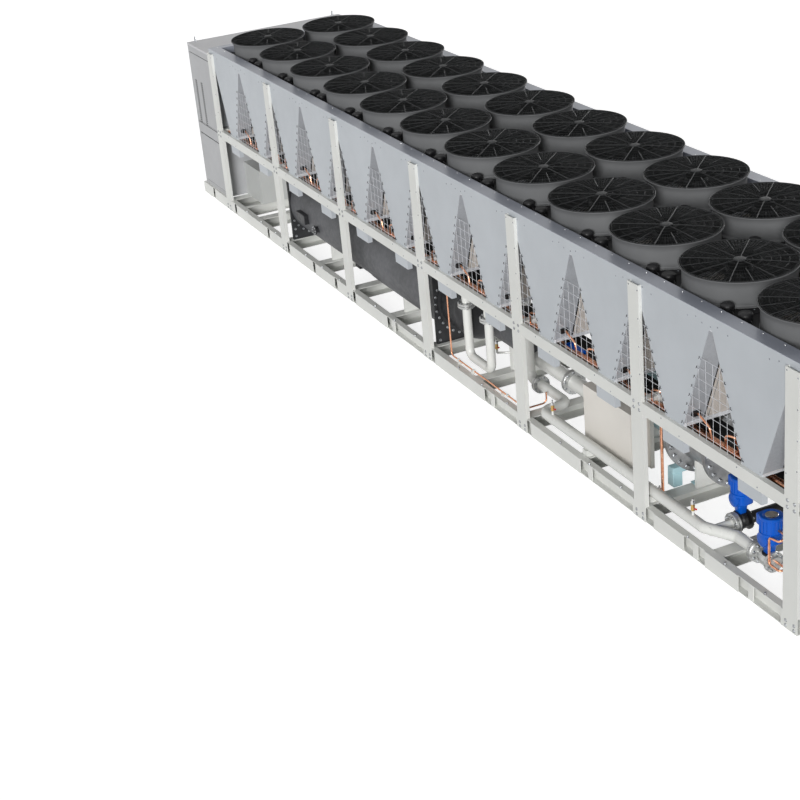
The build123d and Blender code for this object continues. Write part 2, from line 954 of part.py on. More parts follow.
def valve_actuators():
    """Motor drives on the two valves, each a drum with a side box on a tall gear case."""
    drives = []
    bodies = valve_bodies()
    dx, dy, dz = actuator_size
    x1 = station(liquid_end) + 2 * pipe_flange_thickness + main_valve_length / 2 + actuator_shift
    y1 = inset(branch_flange_inset) + pipe_flange_thickness + branch_valve_length / 2
    for x, y in ((x1, inset(liquid_offset_inset)), (station(branch_place), y1)):
        low = liquid_height + valve_body_radius
        neck = block(x - dx / 3, x + dx / 4, y - dy / 3, y + dy / 3, low - plate, low + actuator_neck)
        for body in bodies:
            neck -= body
        top = low + actuator_neck
        drum = Pos(x, y, top) * extrude(RegularPolygon(dx / 2, fan_sides), dz)
        side_box = block(x - actuator_reach, x, y - dy / 4, y + dy / 4, top + dz / 6, top + dz * 0.7)
        drives.append(neck + drum + side_box)
    return drives


def copper_lines():
    """Drain tube along the near side and an upright tube at the fifth post."""
    y = inset(drain_inset)
    xa = station(drain_start)
    xb = station(drive_member * module_pitch) - drive_setback - drain_end_gap
    back = y + drain_turn
    drain = tube([(xa, y, mid_rail_top), (xa, y, drain_height), (xb, y, drain_height),
                  (xb, back, drain_height), (xb, back, drain_rise)], drain_radius)
    x, y = station(riser_place), inset(riser_inset)
    top = header_rows[1][1] - header_radius
    riser = tube([(x, y, cross_top), (x, y, top)], 1.6 * drain_radius)
    return [drain, riser]


def pipe_clamps():
    clamps = []
    y = inset(drain_inset)
    half, deep = drain_clamp_size[0] / 2, drain_clamp_size[1] / 2
    for place in clamp_places:
        x = station(place)
        clamps.append(block(x - half, x + half, y - deep, y + deep, base_height,
                            drain_height - drain_radius))
    return clamps


def pipe_stands():
    stands = []
    y, half = inset(liquid_inset), stand_width / 2
    for place in stand_places:
        x = station(place)
        stands.append(block(x - half, x + half, y - half, y + half, cross_top,
                            liquid_height - liquid_radius))
    return stands


def drive_cabinet():
    """Cabinet whose back part stands out a little at both ends."""
    x1 = station(drive_member * module_pitch) - drive_setback
    x2 = x1 + drive_length
    y = inset(drive_inset)
    back = y + drive_depth - drive_back
    body = block(x1, x2, y, back, drive_bottom, drive_top)
    body += block(x1 - drive_back, x2 + drive_back, back, y + drive_depth, drive_bottom, drive_top)
    return [body]


def drive_feet():
    y = inset(drive_inset)
    x, half = station(drive_member * module_pitch), drive_foot / 2
    return [
        block(x - half, x + half, y + shift, y + shift + drive_foot, cross_top, drive_bottom)
        for shift in (half, drive_depth - 2 * drive_foot)
    ]


def motor_start():
    """X of the motor's near end, just before the cross member of the drive cabinet."""
    return station(drive_member * module_pitch) - motor_case_setback


def compressor_motor():
    """Motor case with the pedestal that carries its far end, cast in one."""
    x1 = motor_start()
    x2 = x1 + motor_case_length
    y, z = inset(compressor_inset), compressor_height
    far = x2 - pedestal_inset
    member = station((drive_member + 1) * module_pitch)
    case = along_x(x1, x2, y, z, motor_case_radius)
    case += block(far - pedestal_thickness, far, y - pedestal_half, y + pedestal_half, cross_top, z / 2)
    case += block(far - pedestal_thickness, far, y - motor_case_radius / 2,
                  y + motor_case_radius / 2, z / 2, z)
    case += block(far, member, y - pedestal_half / 2, y + pedestal_half / 2, cross_top,
                  cross_top + pedestal_thickness / 4)
    return [case]


def compressor_casing():
    """Bolted casing at the drive end, with its suction neck."""
    x1 = motor_start() + motor_case_length
    x2 = x1 + casing_length
    y, z = inset(compressor_inset), compressor_height
    rear = x2 + casing_flange_thickness
    body = along_x(x1, x1 + casing_flange_thickness, y, z, casing_flange_radius)
    body += along_x(x1, x2, y, z, casing_radius)
    body += along_x(x2, rear, y, z, casing_flange_radius * rear_flange_share)
    body += along_x(rear, rear + suction_length, y, z, suction_radius)
    return [body]


def compressor_feet():
    """Plate feet on the cross members below the motor and the casing."""
    feet = []
    y, z = inset(compressor_inset), compressor_height
    half = saddle_thickness / 2
    carried = (compressor_motor()[0], compressor_casing()[0])
    for k, machine, radius in zip((0, 1), carried, (motor_case_radius, casing_radius)):
        x = station((drive_member + k) * module_pitch) + saddle_thickness
        foot = block(x - half, x + half, y - foot_half, y + foot_half, cross_top, z - radius * 0.6)
        feet.append(foot - machine)
    return feet


def main():
    os.makedirs("parts", exist_ok=True)
    save("base_rails", base_rails())
    save("base_cover_plates", base_cover_plates() + base_lugs())
    save("base_cross_members", base_cross_members())
    save("side_posts", side_posts())
    save("mid_rails", mid_rails() + mid_cross_beams())
    save("frame_bolts", frame_bolts())
    save("coil_section_panels", both_sides(coil_end_panels()) + end_sheets())
    save("module_legs", module_legs())
    save("gap_guards", both_sides(gap_guards()))
    save("condenser_coils", condenser_coils())
    save("coil_rails", coil_pans() + coil_top_rails())
    save("coil_headers", coil_headers() + header_branches())
    save("roof_edge_strips", roof_edge_strips())
    save("fan_deck", fan_deck())
    save("fan_shrouds", at_fans(fan_shroud(), deck_top))
    save("fan_guards", at_fans(fan_guard(), rim_top))
    save("fan_motors", at_fans(fan_motor(), rim_top))
    save("fan_terminal_covers", terminal_covers())
    save_rotors()
    save("cabinet_body", cabinet_body())
    save("cabinet_roof", cabinet_roof())
    save("cabinet_panels", cabinet_side_panels() + cabinet_doors())
    save("lifting_eyes", lifting_eyes())
    save("electrical_enclosure", electrical_enclosure())
    save("evaporator_shell", evaporator_shell())
    save("evaporator_ends", evaporator_heads() + evaporator_flanges() + evaporator_fittings())
    save("separator_vessel", separator_vessel())
    save("lower_supports", evaporator_saddles() + separator_foot() + drive_feet()
         + compressor_feet() + pipe_stands() + pipe_clamps())
    save("suction_trap", suction_trap())
    save("liquid_pipe", liquid_pipe() + feed_line() + discharge_line())
    save("pipe_flanges", trap_flanges() + pipe_flanges() + discharge_flange())
    save("valve_bodies", valve_bodies())
    save("valve_actuators", valve_actuators())
    save("copper_lines", copper_lines())
    save("drive_cabinet", drive_cabinet())
    save("compressor_motor", compressor_motor())
    save("compressor_casing", compressor_casing())


main()
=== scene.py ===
import bpy
import math
import numpy as np
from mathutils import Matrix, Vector


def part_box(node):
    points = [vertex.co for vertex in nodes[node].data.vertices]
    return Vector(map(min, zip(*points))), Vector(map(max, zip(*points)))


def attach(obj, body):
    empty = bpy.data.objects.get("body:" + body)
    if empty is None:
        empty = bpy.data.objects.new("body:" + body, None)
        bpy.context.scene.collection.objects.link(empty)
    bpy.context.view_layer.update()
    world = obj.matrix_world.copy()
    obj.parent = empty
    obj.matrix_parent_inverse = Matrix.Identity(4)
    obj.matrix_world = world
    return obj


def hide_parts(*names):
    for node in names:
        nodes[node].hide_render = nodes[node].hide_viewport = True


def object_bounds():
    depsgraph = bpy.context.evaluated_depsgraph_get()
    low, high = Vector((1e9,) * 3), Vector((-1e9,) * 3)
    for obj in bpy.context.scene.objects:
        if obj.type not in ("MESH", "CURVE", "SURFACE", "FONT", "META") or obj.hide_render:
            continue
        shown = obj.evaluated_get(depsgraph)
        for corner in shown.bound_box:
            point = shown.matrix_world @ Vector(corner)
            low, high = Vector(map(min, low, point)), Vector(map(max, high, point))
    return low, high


# Water chiller dressed over its CAD frame. Metres: X along the machine, Z up,
# stations count from the first post and insets from the near side sheet.
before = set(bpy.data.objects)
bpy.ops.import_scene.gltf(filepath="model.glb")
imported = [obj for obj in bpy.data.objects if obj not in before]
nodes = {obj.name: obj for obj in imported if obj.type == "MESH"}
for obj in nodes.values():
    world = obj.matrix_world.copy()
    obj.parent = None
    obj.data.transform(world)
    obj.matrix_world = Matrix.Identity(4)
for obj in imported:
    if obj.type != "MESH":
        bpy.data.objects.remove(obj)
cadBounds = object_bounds()

layout = {
    "bay": 2.24,
    "bays": 6,
    "halfWidth": 1.225,
    "fanRow": 0.541,
    "postHalf": 0.095,
    "gapApex": 2.264,
    "gapApexHalf": 0.020,
    "gapSlope": 0.39,
}
bay, bays = layout["bay"], layout["bays"]
pitch = bay / 2
fanCount = 2 * bays
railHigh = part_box("base_rails")[1]
firstPost = railHigh.x - layout["postHalf"] - bay * bays
midLow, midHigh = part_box("mid_rails")
frameFace = -midLow.y
midTop = midHigh.z
midBottom = midLow.z
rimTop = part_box("fan_shrouds")[1].z
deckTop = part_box("fan_deck")[1].z
baseTop = railHigh.z
nearSheet = -layout["halfWidth"]


def station(distance):
    return firstPost + distance


def inset(distance):
    return nearSheet + distance


def at(distance, deep, z):
    # place by station, inset and height
    return station(distance), inset(deep), z


def gapHalf(z):
    # half width of a gap between two coils at a height
    return layout["gapApexHalf"] + (layout["gapApex"] - z) * layout["gapSlope"]


fanRows = {"near": -layout["fanRow"], "far": layout["fanRow"]}
fanPlaces = np.array([(station((k + 0.5) * pitch), y, 0.0)
                      for y in fanRows.values() for k in range(fanCount)])
gapStations = np.arange(1, fanCount) * pitch


# Shapes: each is (points, list of face arrays)

def gridShell(points, closeU=False, closeV=False, caps=False):
    # points[i, j] is the surface at parameters i and j; quads join neighbours, caps close both ends of j
    nu, nv = points.shape[:2]
    index = np.arange(nu * nv).reshape(nu, nv)
    if closeU:
        index = np.vstack([index, index[:1]])
    if closeV:
        index = np.hstack([index, index[:, :1]])
    quads = np.stack([index[:-1, :-1], index[1:, :-1], index[1:, 1:], index[:-1, 1:]], -1)
    ring = np.arange(nu) * nv
    ends = [ring[None, ::-1], ring[None] + nv - 1] if caps else []
    return points.reshape(-1, 3), [quads.reshape(-1, 4)] + ends


def joined(shells):
    points, faces, start = [], [], 0
    for some, groups in shells:
        points.append(some)
        faces += [group + start for group in groups]
        start += len(some)
    return np.concatenate(points), faces


def lathe(profile, segments, closed=False):
    # (radius, height) pairs turned about Z: x = r cos a, y = r sin a
    profile = np.asarray(profile, float)
    angle = np.linspace(0, 2 * np.pi, segments, endpoint=False)[:, None]
    r, z = profile[:, 0], profile[:, 1]
    points = np.stack([np.cos(angle) * r, np.sin(angle) * r, np.ones_like(angle) * z], -1)
    return gridShell(points, closeU=True, closeV=closed, caps=not closed)


def tube(path, radius, sides=12, reference=(0.48, 0.62, 0.62)):
    # circle of the given radius carried along the path, square to its tangent
    path = np.asarray(path, float)
    tangent = np.gradient(path, axis=0)
    tangent /= np.linalg.norm(tangent, axis=1)[:, None]
    normal = np.cross(tangent, reference)
    normal /= np.linalg.norm(normal, axis=1)[:, None]
    binormal = np.cross(tangent, normal)
    angle = np.linspace(0, 2 * np.pi, sides, endpoint=False)[:, None, None]
    radius = np.broadcast_to(radius, len(path))[None, :, None]
    points = path + radius * (np.cos(angle) * normal + np.sin(angle) * binormal)
    return gridShell(points, closeU=True, caps=True)


def bentPath(corners, bend, steps=6):
    # straight runs joined by arcs of one radius, tangent to both runs
    corners = [np.asarray(c, float) for c in corners]
    path = [corners[0][None]]
    share = np.linspace(0, 1, steps + 1)[:, None]
    for before, corner, after in zip(corners, corners[1:], corners[2:]):
        one = (before - corner) / np.linalg.norm(before - corner)
        two = (after - corner) / np.linalg.norm(after - corner)
        half = np.arccos(np.clip(one @ two, -1, 1)) / 2
        centre = corner + (one + two) / np.linalg.norm(one + two) * bend / np.sin(half)
        start = corner + one * bend / np.tan(half) - centre
        end = corner + two * bend / np.tan(half) - centre
        turn = np.pi - 2 * half
        path.append(centre + (start * np.sin(turn * (1 - share)) + end * np.sin(turn * share)) / np.sin(turn))
    path.append(corners[-1][None])
    return np.concatenate(path)


def blockShell(low, high, bevel=0.0015):
    # box with a chamfer round its upright and level edges: stacked rounded squares
    low, high = np.asarray(low, float), np.asarray(high, float)
    c = min(bevel, (high - low).min() / 3)
    x = np.array([low[0] + c, high[0] - c, high[0], high[0], high[0] - c, low[0] + c, low[0], low[0]])
    y = np.array([low[1], low[1], low[1] + c, high[1] - c, high[1], high[1], high[1] - c, low[1] + c])
    middle = (low + high) / 2
    rings = []
    for z, pull in ((low[2], c), (low[2] + c, 0), (high[2] - c, 0), (high[2], c)):
        shrinkX = 1 - pull / (high[0] - low[0]) * 2
        shrinkY = 1 - pull / (high[1] - low[1]) * 2
        rings.append(np.stack([middle[0] + (x - middle[0]) * shrinkX,
                               middle[1] + (y - middle[1]) * shrinkY, np.full(8, z)], -1))
    return gridShell(np.stack(rings, 1), closeU=True, caps=True)


def copies(shell, places, turns=None):
    # the same shell at each place, turned by each 3 by 3 matrix first
    points, groups = shell
    places = np.asarray(places, float).reshape(-1, 3)
    turned = points[None] if turns is None else np.einsum("kij,nj->kni", turns, points)
    turned = np.broadcast_to(turned, (len(places), len(points), 3)) + places[:, None]
    offsets = np.arange(len(places)) * len(points)
    faces = [(group[None] + offsets[:, None, None]).reshape(-1, group.shape[1]) for group in groups]
    return turned.reshape(-1, 3), faces


def aboutZ(angles):
    c, s, o = np.cos(angles), np.sin(angles), np.zeros(len(angles))
    return np.stack([c, -s, o, s, c, o, o, o, o + 1], -1).reshape(-1, 3, 3)


def facing(direction, count=1):
    # matrix that takes +Z to the direction
    z = np.asarray(direction, float) / np.linalg.norm(direction)
    x = np.cross((0, 0, 1) if abs(z[2]) < 0.9 else (1, 0, 0), z)
    x /= np.linalg.norm(x)
    return np.repeat(np.stack([x, np.cross(z, x), z], -1)[None], count, 0)


def placed(shell, place, direction=None):
    turns = None if direction is None else facing(direction)
    return copies(shell, [place], turns)


def inARing(shell, count, phase=0.0, place=(0, 0, 0)):
    # the shell turned about Z to evenly spaced angles
    angles = phase + np.arange(count) * 2 * np.pi / count
    return copies(shell, np.zeros((count, 3)) + place, aboutZ(angles))


def bothSides(shells):
    # the near side's shells and the far side's copy: y changes sign and the faces turn round with it
    points, groups = joined(shells)
    return [(points, groups), (points * (1, -1, 1), [group[:, ::-1] for group in groups])]


# edges that fold by more degrees than this stay sharp
sharpAngle = 35


def piece(name, shells, material, slot, *replaces, body="root"):
    # one object at the origin from the shells, riding its body
    points, groups = joined(shells)
    sizes = np.concatenate([np.full(len(group), group.shape[1]) for group in groups])
    mesh = bpy.data.meshes.new(name)
    mesh.vertices.add(len(points))
    mesh.vertices.foreach_set("co", points.astype(np.float32).ravel())
    mesh.loops.add(int(sizes.sum()))
    mesh.loops.foreach_set("vertex_index", np.concatenate([g.ravel() for g in groups]).astype(np.int32))
    mesh.polygons.add(len(sizes))
    starts = np.concatenate([[0], np.cumsum(sizes)[:-1]])
    mesh.polygons.foreach_set("loop_start", starts.astype(np.int32))
    mesh.update(calc_edges=True)
    mesh.validate()
    mesh.polygons.foreach_set("use_smooth", np.ones(len(mesh.polygons), bool))
    mesh.set_sharp_from_angle(angle=math.radians(sharpAngle))
    mesh.materials.append(material)
    thing = bpy.data.objects.new(name, mesh)
    bpy.context.scene.collection.objects.link(thing)
    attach(thing, body)
    if replaces:
        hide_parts(*replaces)
    return thing


# Materials

class Wire:
    # wraps a socket so that shader maths reads as plain expressions
    def __init__(self, look, socket):
        self.look = look
        self.socket = socket

    def maths(self, operation, *others):
        values = {n: other for n, other in enumerate((self,) + others)}
        return self.look.node("ShaderNodeMath", {"operation": operation}, values)

    def __add__(self, other):
        return self.maths("ADD", other)

    __radd__ = __add__

    def __mul__(self, other):
        return self.maths("MULTIPLY", other)

    __rmul__ = __mul__

    def __lt__(self, other):
        return self.maths("LESS_THAN", other)


class Look:
    def __init__(self, name, **sockets):
        self.material = bpy.data.materials.new(name)
        self.material.use_nodes = True
        self.tree = self.material.node_tree
        self.shader = self.tree.nodes["Principled BSDF"]
        for key, value in sockets.items():
            self.set(key.replace("_", " "), value)

    def set(self, socket, value):
        target = self.shader.inputs[socket]
        if isinstance(value, Wire):
            self.tree.links.new(value.socket, target)
        elif target.type == "RGBA":
            target.default_value = (*value, 1.0)
        else:
            target.default_value = value

    def node(self, kind, settings=None, values=None, output=0):
        made = self.tree.nodes.new(kind)
        for key, value in (settings or {}).items():
            setattr(made, key, value)
        for key, value in (values or {}).items():
            target = made.inputs[key]
            if isinstance(value, Wire):
                self.tree.links.new(value.socket, target)
            elif isinstance(value, tuple) and target.type == "RGBA":
                target.default_value = (*value, 1.0)
            else:
                target.default_value = value
        return Wire(self, made.outputs[output])

    def coords(self):
        return self.node("ShaderNodeTexCoord", output="Object")

    def axis(self, name):
        return self.node("ShaderNodeSeparateXYZ", values={0: self.coords()}, output=name)

    def noise(self, scale, detail=2.0, stretch=(1, 1, 1)):
        spread = self.node("ShaderNodeMapping", values={"Vector": self.coords(), "Scale": stretch})
        return self.node("ShaderNodeTexNoise", values={"Vector": spread, "Scale": scale, "Detail": detail})

    def spread(self, wire, low, high, start=0.3, end=0.7):
        values = {"Value": wire, "From Min": start, "From Max": end, "To Min": low, "To Max": high}
        return self.node("ShaderNodeMapRange", values=values)

    def mix(self, factor, one, two):
        return self.node("ShaderNodeMix", {"data_type": "RGBA"}, {0: factor, 6: one, 7: two}, output=2)

    def bump(self, height, strength, distance):
        values = {"Height": height, "Strength": strength, "Distance": distance}
        self.set("Normal", self.node("ShaderNodeBump", values=values))


def srgb(red, green, blue):
    # screen colour out of 255 to the linear value that a socket takes
    part = np.array([red, green, blue]) / 255
    return tuple(float(v) for v in np.where(part <= 0.04045, part / 12.92, ((part + 0.055) / 1.055) ** 2.4))


def shade(colour, factor):
    return tuple(c * factor for c in colour)


def mottled(look, dark, pale, drift, roughness, gloss, bump=None):
    # colour and roughness wander with two noises, a third raises a fine grain
    look.set("Base Color", look.mix(look.spread(look.noise(*drift), 0.0, 1.0), dark, pale))
    look.set("Roughness", look.spread(look.noise(*gloss), *roughness))
    if bump:
        scale, detail, strength, distance = bump
        look.bump(look.noise(scale, detail), strength, distance)
    return look.material


def powderCoat(name, colour, roughness=0.42, grain=0.25, variation=0.05, **sockets):
    # sprayed and baked coat: slight colour drift and fine orange peel
    dark, pale = shade(colour, 1 - variation), shade(colour, 1 + variation * 0.6)
    return mottled(Look(name, **sockets), dark, pale, (1.7, 3.0), (roughness - 0.05, roughness + 0.06),
                   (9.0, 4.0), (420.0, 2.0, grain, 0.0006))


finishes = {
    "frame": {"colour": srgb(219, 220, 216), "roughness": 0.46},
    "panel": {"colour": srgb(185, 190, 195), "roughness": 0.44},
    "cabinet": {"colour": srgb(170, 171, 173), "roughness": 0.45},
    "enclosure": {"colour": srgb(188, 190, 188), "roughness": 0.42},
    "cabinetRoof": {"colour": srgb(198, 198, 200), "roughness": 0.5},
    "deck": {"colour": srgb(22, 22, 23), "roughness": 0.55, "Specular_IOR_Level": 0.2},
    "drive": {"colour": srgb(221, 217, 210), "roughness": 0.42},
    "motor": {"colour": srgb(170, 205, 212), "roughness": 0.38},
    "pipe": {"colour": srgb(218, 219, 215), "roughness": 0.24, "grain": 0.03, "variation": 0.02},
}
coats = {key: powderCoat(key + "Coat", **values) for key, values in finishes.items()}


def zincFinish(name, dull, pale, metallic, scale, roughness):
    # galvanised or weathered zinc: a spangle of pale and dull grains
    look = Look(name, Metallic=metallic)
    chart = {"Vector": look.coords(), "Scale": scale}
    cells = look.node("ShaderNodeTexVoronoi", values=chart, output="Color")
    grain = look.spread(look.node("ShaderNodeSeparateColor", values={0: cells}), 0.0, 1.0, 0.0, 1.0)
    look.set("Base Color", look.mix(grain, dull, pale))
    look.set("Roughness", look.spread(look.noise(40.0, 3.0), *roughness))
    return look.material


def finFinish():
    # flat tubes every tubePitch, thin upright fins every finPitch, a seam every plate; all in metres
    look = Look("coilFins", Metallic=0.1, Roughness=0.5)
    tubePitch, finPitch, plate, seamShare = 0.012, 0.004, 0.245, 0.03
    dull, pale = srgb(222, 214, 206), srgb(232, 226, 218)
    z, y = look.axis("Z"), look.axis("Y")
    tubeWave = (z * (2 * math.pi / tubePitch)).maths("SINE")
    finWave = (y * (2 * math.pi / finPitch)).maths("SINE")
    seam = (y * (1 / plate)).maths("FRACT") < seamShare
    drift = look.spread(look.noise(2.0, 3.0), 0.0, 1.0)
    tone = look.mix(drift, dull, pale)
    tone = look.mix(look.spread(tubeWave, 0.0, 1.0, -1.0, 1.0), shade(dull, 0.84), tone)
    look.set("Base Color", look.mix(seam, tone, srgb(150, 150, 152)))
    look.bump(tubeWave + finWave * 0.4, 0.5, 0.002)
    return look.material


def castFinish(name, dark, pale, metallic=0.4, roughness=0.5, gloss=0.5):
    look = Look(name, Metallic=metallic, Specular_IOR_Level=gloss)
    return mottled(look, dark, pale, (12.0, 5.0), (roughness - 0.1, roughness + 0.1), (35.0, 3.0),
                   (220.0, 3.0, 0.3, 0.0008))


def brightMetal(name, dark, pale, roughness):
    # drawn tube or plated metal: faint handling marks
    return mottled(Look(name, Metallic=1.0), dark, pale, (26.0, 4.0), (roughness, roughness + 0.14),
                   (60.0, 2.0), (140.0, 2.0, 0.06, 0.0005))


def guardMeshFinish():
    # fine wires: rings and spokes repeat round each fan, drawn from the piece's own map
    look = Look("guardMesh", Roughness=0.8, Specular_IOR_Level=0.0)
    ringPitch, ringShare, spokes, spokeShare = 0.011, 0.56, 96.0, 0.24
    drift = look.spread(look.noise(3.0, 2.0), 0.0, 1.0)
    look.set("Base Color", look.mix(drift, srgb(30, 31, 31), srgb(40, 41, 41)))
    chart = look.node("ShaderNodeUVMap", {"uv_map": "fanMap"})
    radius = look.node("ShaderNodeSeparateXYZ", values={0: chart})
    turn = look.node("ShaderNodeSeparateXYZ", values={0: chart}, output="Y")
    ring = (radius * (1 / ringPitch)).maths("FRACT") < ringShare
    spoke = (turn * spokes).maths("FRACT") < spokeShare
    look.set("Alpha", ring.maths("MAXIMUM", spoke))
    return look.material


# the roof's long sheets: bluish grey coat whose soft lighter and darker patches along their length are
# painted reflection of the shrouds beside them
roofCoatAndReflection = mottled(Look("roofCoatAndReflection", Metallic=0.15), srgb(130, 135, 147), srgb(148, 152, 162),
                    (0.9, 1.0, (1.0, 0.3, 1.0)), (0.28, 0.34), (3.0, 2.0))
guardMesh = guardMeshFinish()
shroudPlastic = mottled(Look("shroudPlastic", Specular_IOR_Level=0.12), srgb(102, 103, 104),
                        srgb(112, 113, 114), (2.3, 3.0), (0.48, 0.53), (14.0, 3.0), (600.0, 2.0, 0.2, 0.0004))
blackWire = mottled(Look("blackWire", Specular_IOR_Level=0.15), srgb(38, 39, 40), srgb(50, 51, 52),
                    (30.0, 2.0), (0.52, 0.64), (55.0, 2.0), (800.0, 2.0, 0.15, 0.0003))
zinc = zincFinish("zinc", srgb(168, 170, 173), srgb(205, 207, 209), 0.85, 90.0, (0.32, 0.5))
paleZinc = zincFinish("paleZinc", srgb(204, 206, 210), srgb(212, 214, 218), 0.1, 70.0, (0.36, 0.5))
# a darker copy of paleZinc for the plates inside the gaps: painted shade
shadedZinc = zincFinish("shadedZinc", srgb(170, 173, 178), srgb(178, 181, 186), 0.1, 70.0, (0.36, 0.5))
coilFins = finFinish()
# closed-cell insulation sheet glued round the vessels
vesselFoam = mottled(Look("vesselFoam"), srgb(66, 67, 69), srgb(84, 85, 88), (1.6, 4.0), (0.5, 0.68),
                     (20.0, 3.0), (160.0, 3.0, 0.3, 0.001))
vesselSteel = castFinish("vesselSteel", srgb(28, 28, 30), srgb(42, 43, 45), 0.0, 0.45, 0.4)
castGrey = castFinish("castGrey", srgb(128, 129, 130), srgb(160, 161, 162), 0.6, 0.38)
castBlack = castFinish("castBlack", srgb(20, 20, 21), srgb(34, 34, 36), 0.0, 0.42, 0.4)
flangeMetal = castFinish("flangeMetal", srgb(166, 167, 166), srgb(194, 195, 193), 0.6, 0.34)
copper = brightMetal("copperTube", srgb(214, 144, 108), srgb(240, 184, 152), 0.22)
brass = brightMetal("brassFitting", srgb(176, 142, 82), srgb(206, 176, 116), 0.26)
chrome = brightMetal("chromePlate", srgb(190, 190, 190), srgb(225, 225, 225), 0.12)
boltSteel = brightMetal("boltSteel", srgb(138, 140, 142), srgb(182, 184, 186), 0.3)
screwSteel = brightMetal("screwSteel", srgb(108, 112, 118), srgb(150, 154, 160), 0.34)
blueCoat = powderCoat("blueCoat", srgb(2, 84, 186), roughness=0.3, grain=0.12, variation=0.08,
                      Specular_IOR_Level=0.3)
bladePlastic = castFinish("bladePlastic", srgb(62, 63, 65), srgb(76, 77, 79), 0.0, 0.42, 0.4)
redCoat = powderCoat("redCoat", srgb(190, 20, 30), roughness=0.35, grain=0.1)
blackPlastic = castFinish("blackPlastic", srgb(18, 18, 19), srgb(28, 28, 30), 0.0, 0.48, 0.3)

nodeLooks = {
    "base_rails": coats["frame"], "base_cover_plates": coats["frame"], "base_cross_members": coats["frame"],
    "side_posts": coats["frame"], "mid_rails": coats["frame"], "lower_supports": coats["frame"],
    "coil_section_panels": coats["panel"], "module_legs": coats["panel"], "condenser_coils": coilFins,
    "coil_rails": paleZinc, "roof_edge_strips": roofCoatAndReflection, "fan_deck": coats["deck"],
    "cabinet_body": coats["cabinet"], "cabinet_panels": coats["cabinet"],
    "cabinet_roof": coats["cabinetRoof"],
    "electrical_enclosure": coats["enclosure"], "drive_cabinet": coats["drive"],
}
for nodeName, material in nodeLooks.items():
    nodes[nodeName].data.materials.clear()
    nodes[nodeName].data.materials.append(material)
print("materials set on", len(nodeLooks), "frame nodes")

# Small fixings

sideScrew = {"radius": 0.0075, "height": 0.0035}
roofScrew = {"radius": 0.007, "height": 0.004}


def screwHead(radius, height, segments=10):
    # low dome: r = R sin t, z = H cos t, closed by a small flat cap
    t = np.linspace(np.pi / 2, 0.12, 4)
    profile = np.stack([radius * np.sin(t), height * np.cos(t)], -1)
    return lathe(np.vstack([[radius, -height * 0.3], profile]), segments)


def hexBolt(radius, height, washer=1.35):
    # washer disc, then a six-sided head with a chamfered top
    disc = lathe([(radius * washer, 0), (radius * washer, height * 0.18)], 12)
    head = lathe([(radius, height * 0.18), (radius, height * 0.85), (radius * 0.86, height)], 6)
    return joined([disc, head])


def boltRing(centre, direction, radius, count, shell, phase=0.0):
    angle = phase + np.arange(count) * 2 * np.pi / count
    turn = facing(direction)[0]
    ring = np.stack([np.cos(angle) * radius, np.sin(angle) * radius, np.zeros(count)], -1) @ turn.T
    return copies(shell, ring + np.asarray(centre, float), facing(direction, count))


# Fans

shroudValues = {"neck": 0.490, "lip": 0.518, "flareStart": 0.160, "wall": 0.010, "footRadius": 0.499,
                "footHeight": 0.010, "segments": 72}


def fanShrouds():
    # outer radius = neck + (lip - neck) t^2.2 over the flare, rolled lip, straight bore
    v = shroudValues
    neck, lip, wall, footTop = v["neck"], v["lip"], v["wall"], v["footHeight"]
    height = rimTop - deckTop
    t = np.linspace(0, 1, 9)
    outerR = neck + (lip - neck) * t ** 2.2
    outerZ = v["flareStart"] + (height - 0.006 - v["flareStart"]) * t
    foot = [(v["footRadius"], 0), (v["footRadius"], footTop), (neck + 0.002, footTop + 0.004),
            (neck - 0.003, footTop + 0.016), (neck, footTop + 0.024)]
    edge = [(lip, height - 0.003), (lip - 0.003, height), (lip - wall + 0.002, height)]
    inner = np.stack([outerR[::-1] - wall, outerZ[::-1]], -1)
    profile = np.vstack([foot, np.stack([outerR, outerZ], -1), edge, inner, [(neck - wall, 0)]])
    return copies(lathe(profile, v["segments"], closed=True), fanPlaces + (0, 0, deckTop))


piece("fanShrouds", [fanShrouds()], shroudPlastic, "shroud_plastic", "fan_shrouds")

guardValues = {"hub": 0.056, "rim": 0.513, "rise": 0.010, "bar": 0.0050, "ringWire": 0.0016,
               "rimWire": 0.0045, "rings": 6, "firstRing": 0.11, "shortStart": 0.22, "fullBars": 8}


def domeHeight(r):
    # nearly flat dome: rise (1 - (r / rim)^2) above the rim
    v = guardValues
    return rimTop + v["rimWire"] + v["rise"] * (1 - (r / v["rim"]) ** 2)


def hoop(radius, height, wire, sides, segments):
    # circle of wire about Z
    corner = np.arange(sides) * 2 * np.pi / sides
    loop = np.stack([radius + wire * np.cos(corner), height + wire * np.sin(corner)], -1)
    return lathe(loop, segments, closed=True)


def fanGuards():
    # long and short bars, wire hoops, a rim of round bar and a stepped hub
    v = guardValues
    shells = []
    bars = ((0.0, v["hub"] * 0.8, v["bar"]), (np.pi / v["fullBars"], v["shortStart"], v["bar"] * 0.8))
    for phase, first, thick in bars:
        r = np.linspace(first, v["rim"], 7)
        bar = tube(np.stack([r, 0 * r, domeHeight(r)], -1), thick, 6, reference=(0, 1, 0))
        shells.append(inARing(bar, v["fullBars"], phase))
    for r in np.linspace(v["firstRing"], v["rim"] - 0.02, v["rings"]):
        shells.append(hoop(r, domeHeight(r), v["ringWire"], 3, 48))
    shells.append(hoop(v["rim"], rimTop + 0.005, v["rimWire"], 8, 64))
    top, hub = cadBounds[1][2], v["hub"]
    profile = [(hub - 0.006, rimTop), (hub, rimTop + 0.003), (hub, top - 0.008), (hub - 0.003, top - 0.003),
               (hub - 0.010, top - 0.0005), (0.020, top), (0.004, top)]
    shells.append(lathe(profile, 28))
    return copies(joined(shells), fanPlaces)


piece("fanGuards", [fanGuards()], blackWire, "guard_wire", "fan_guards")


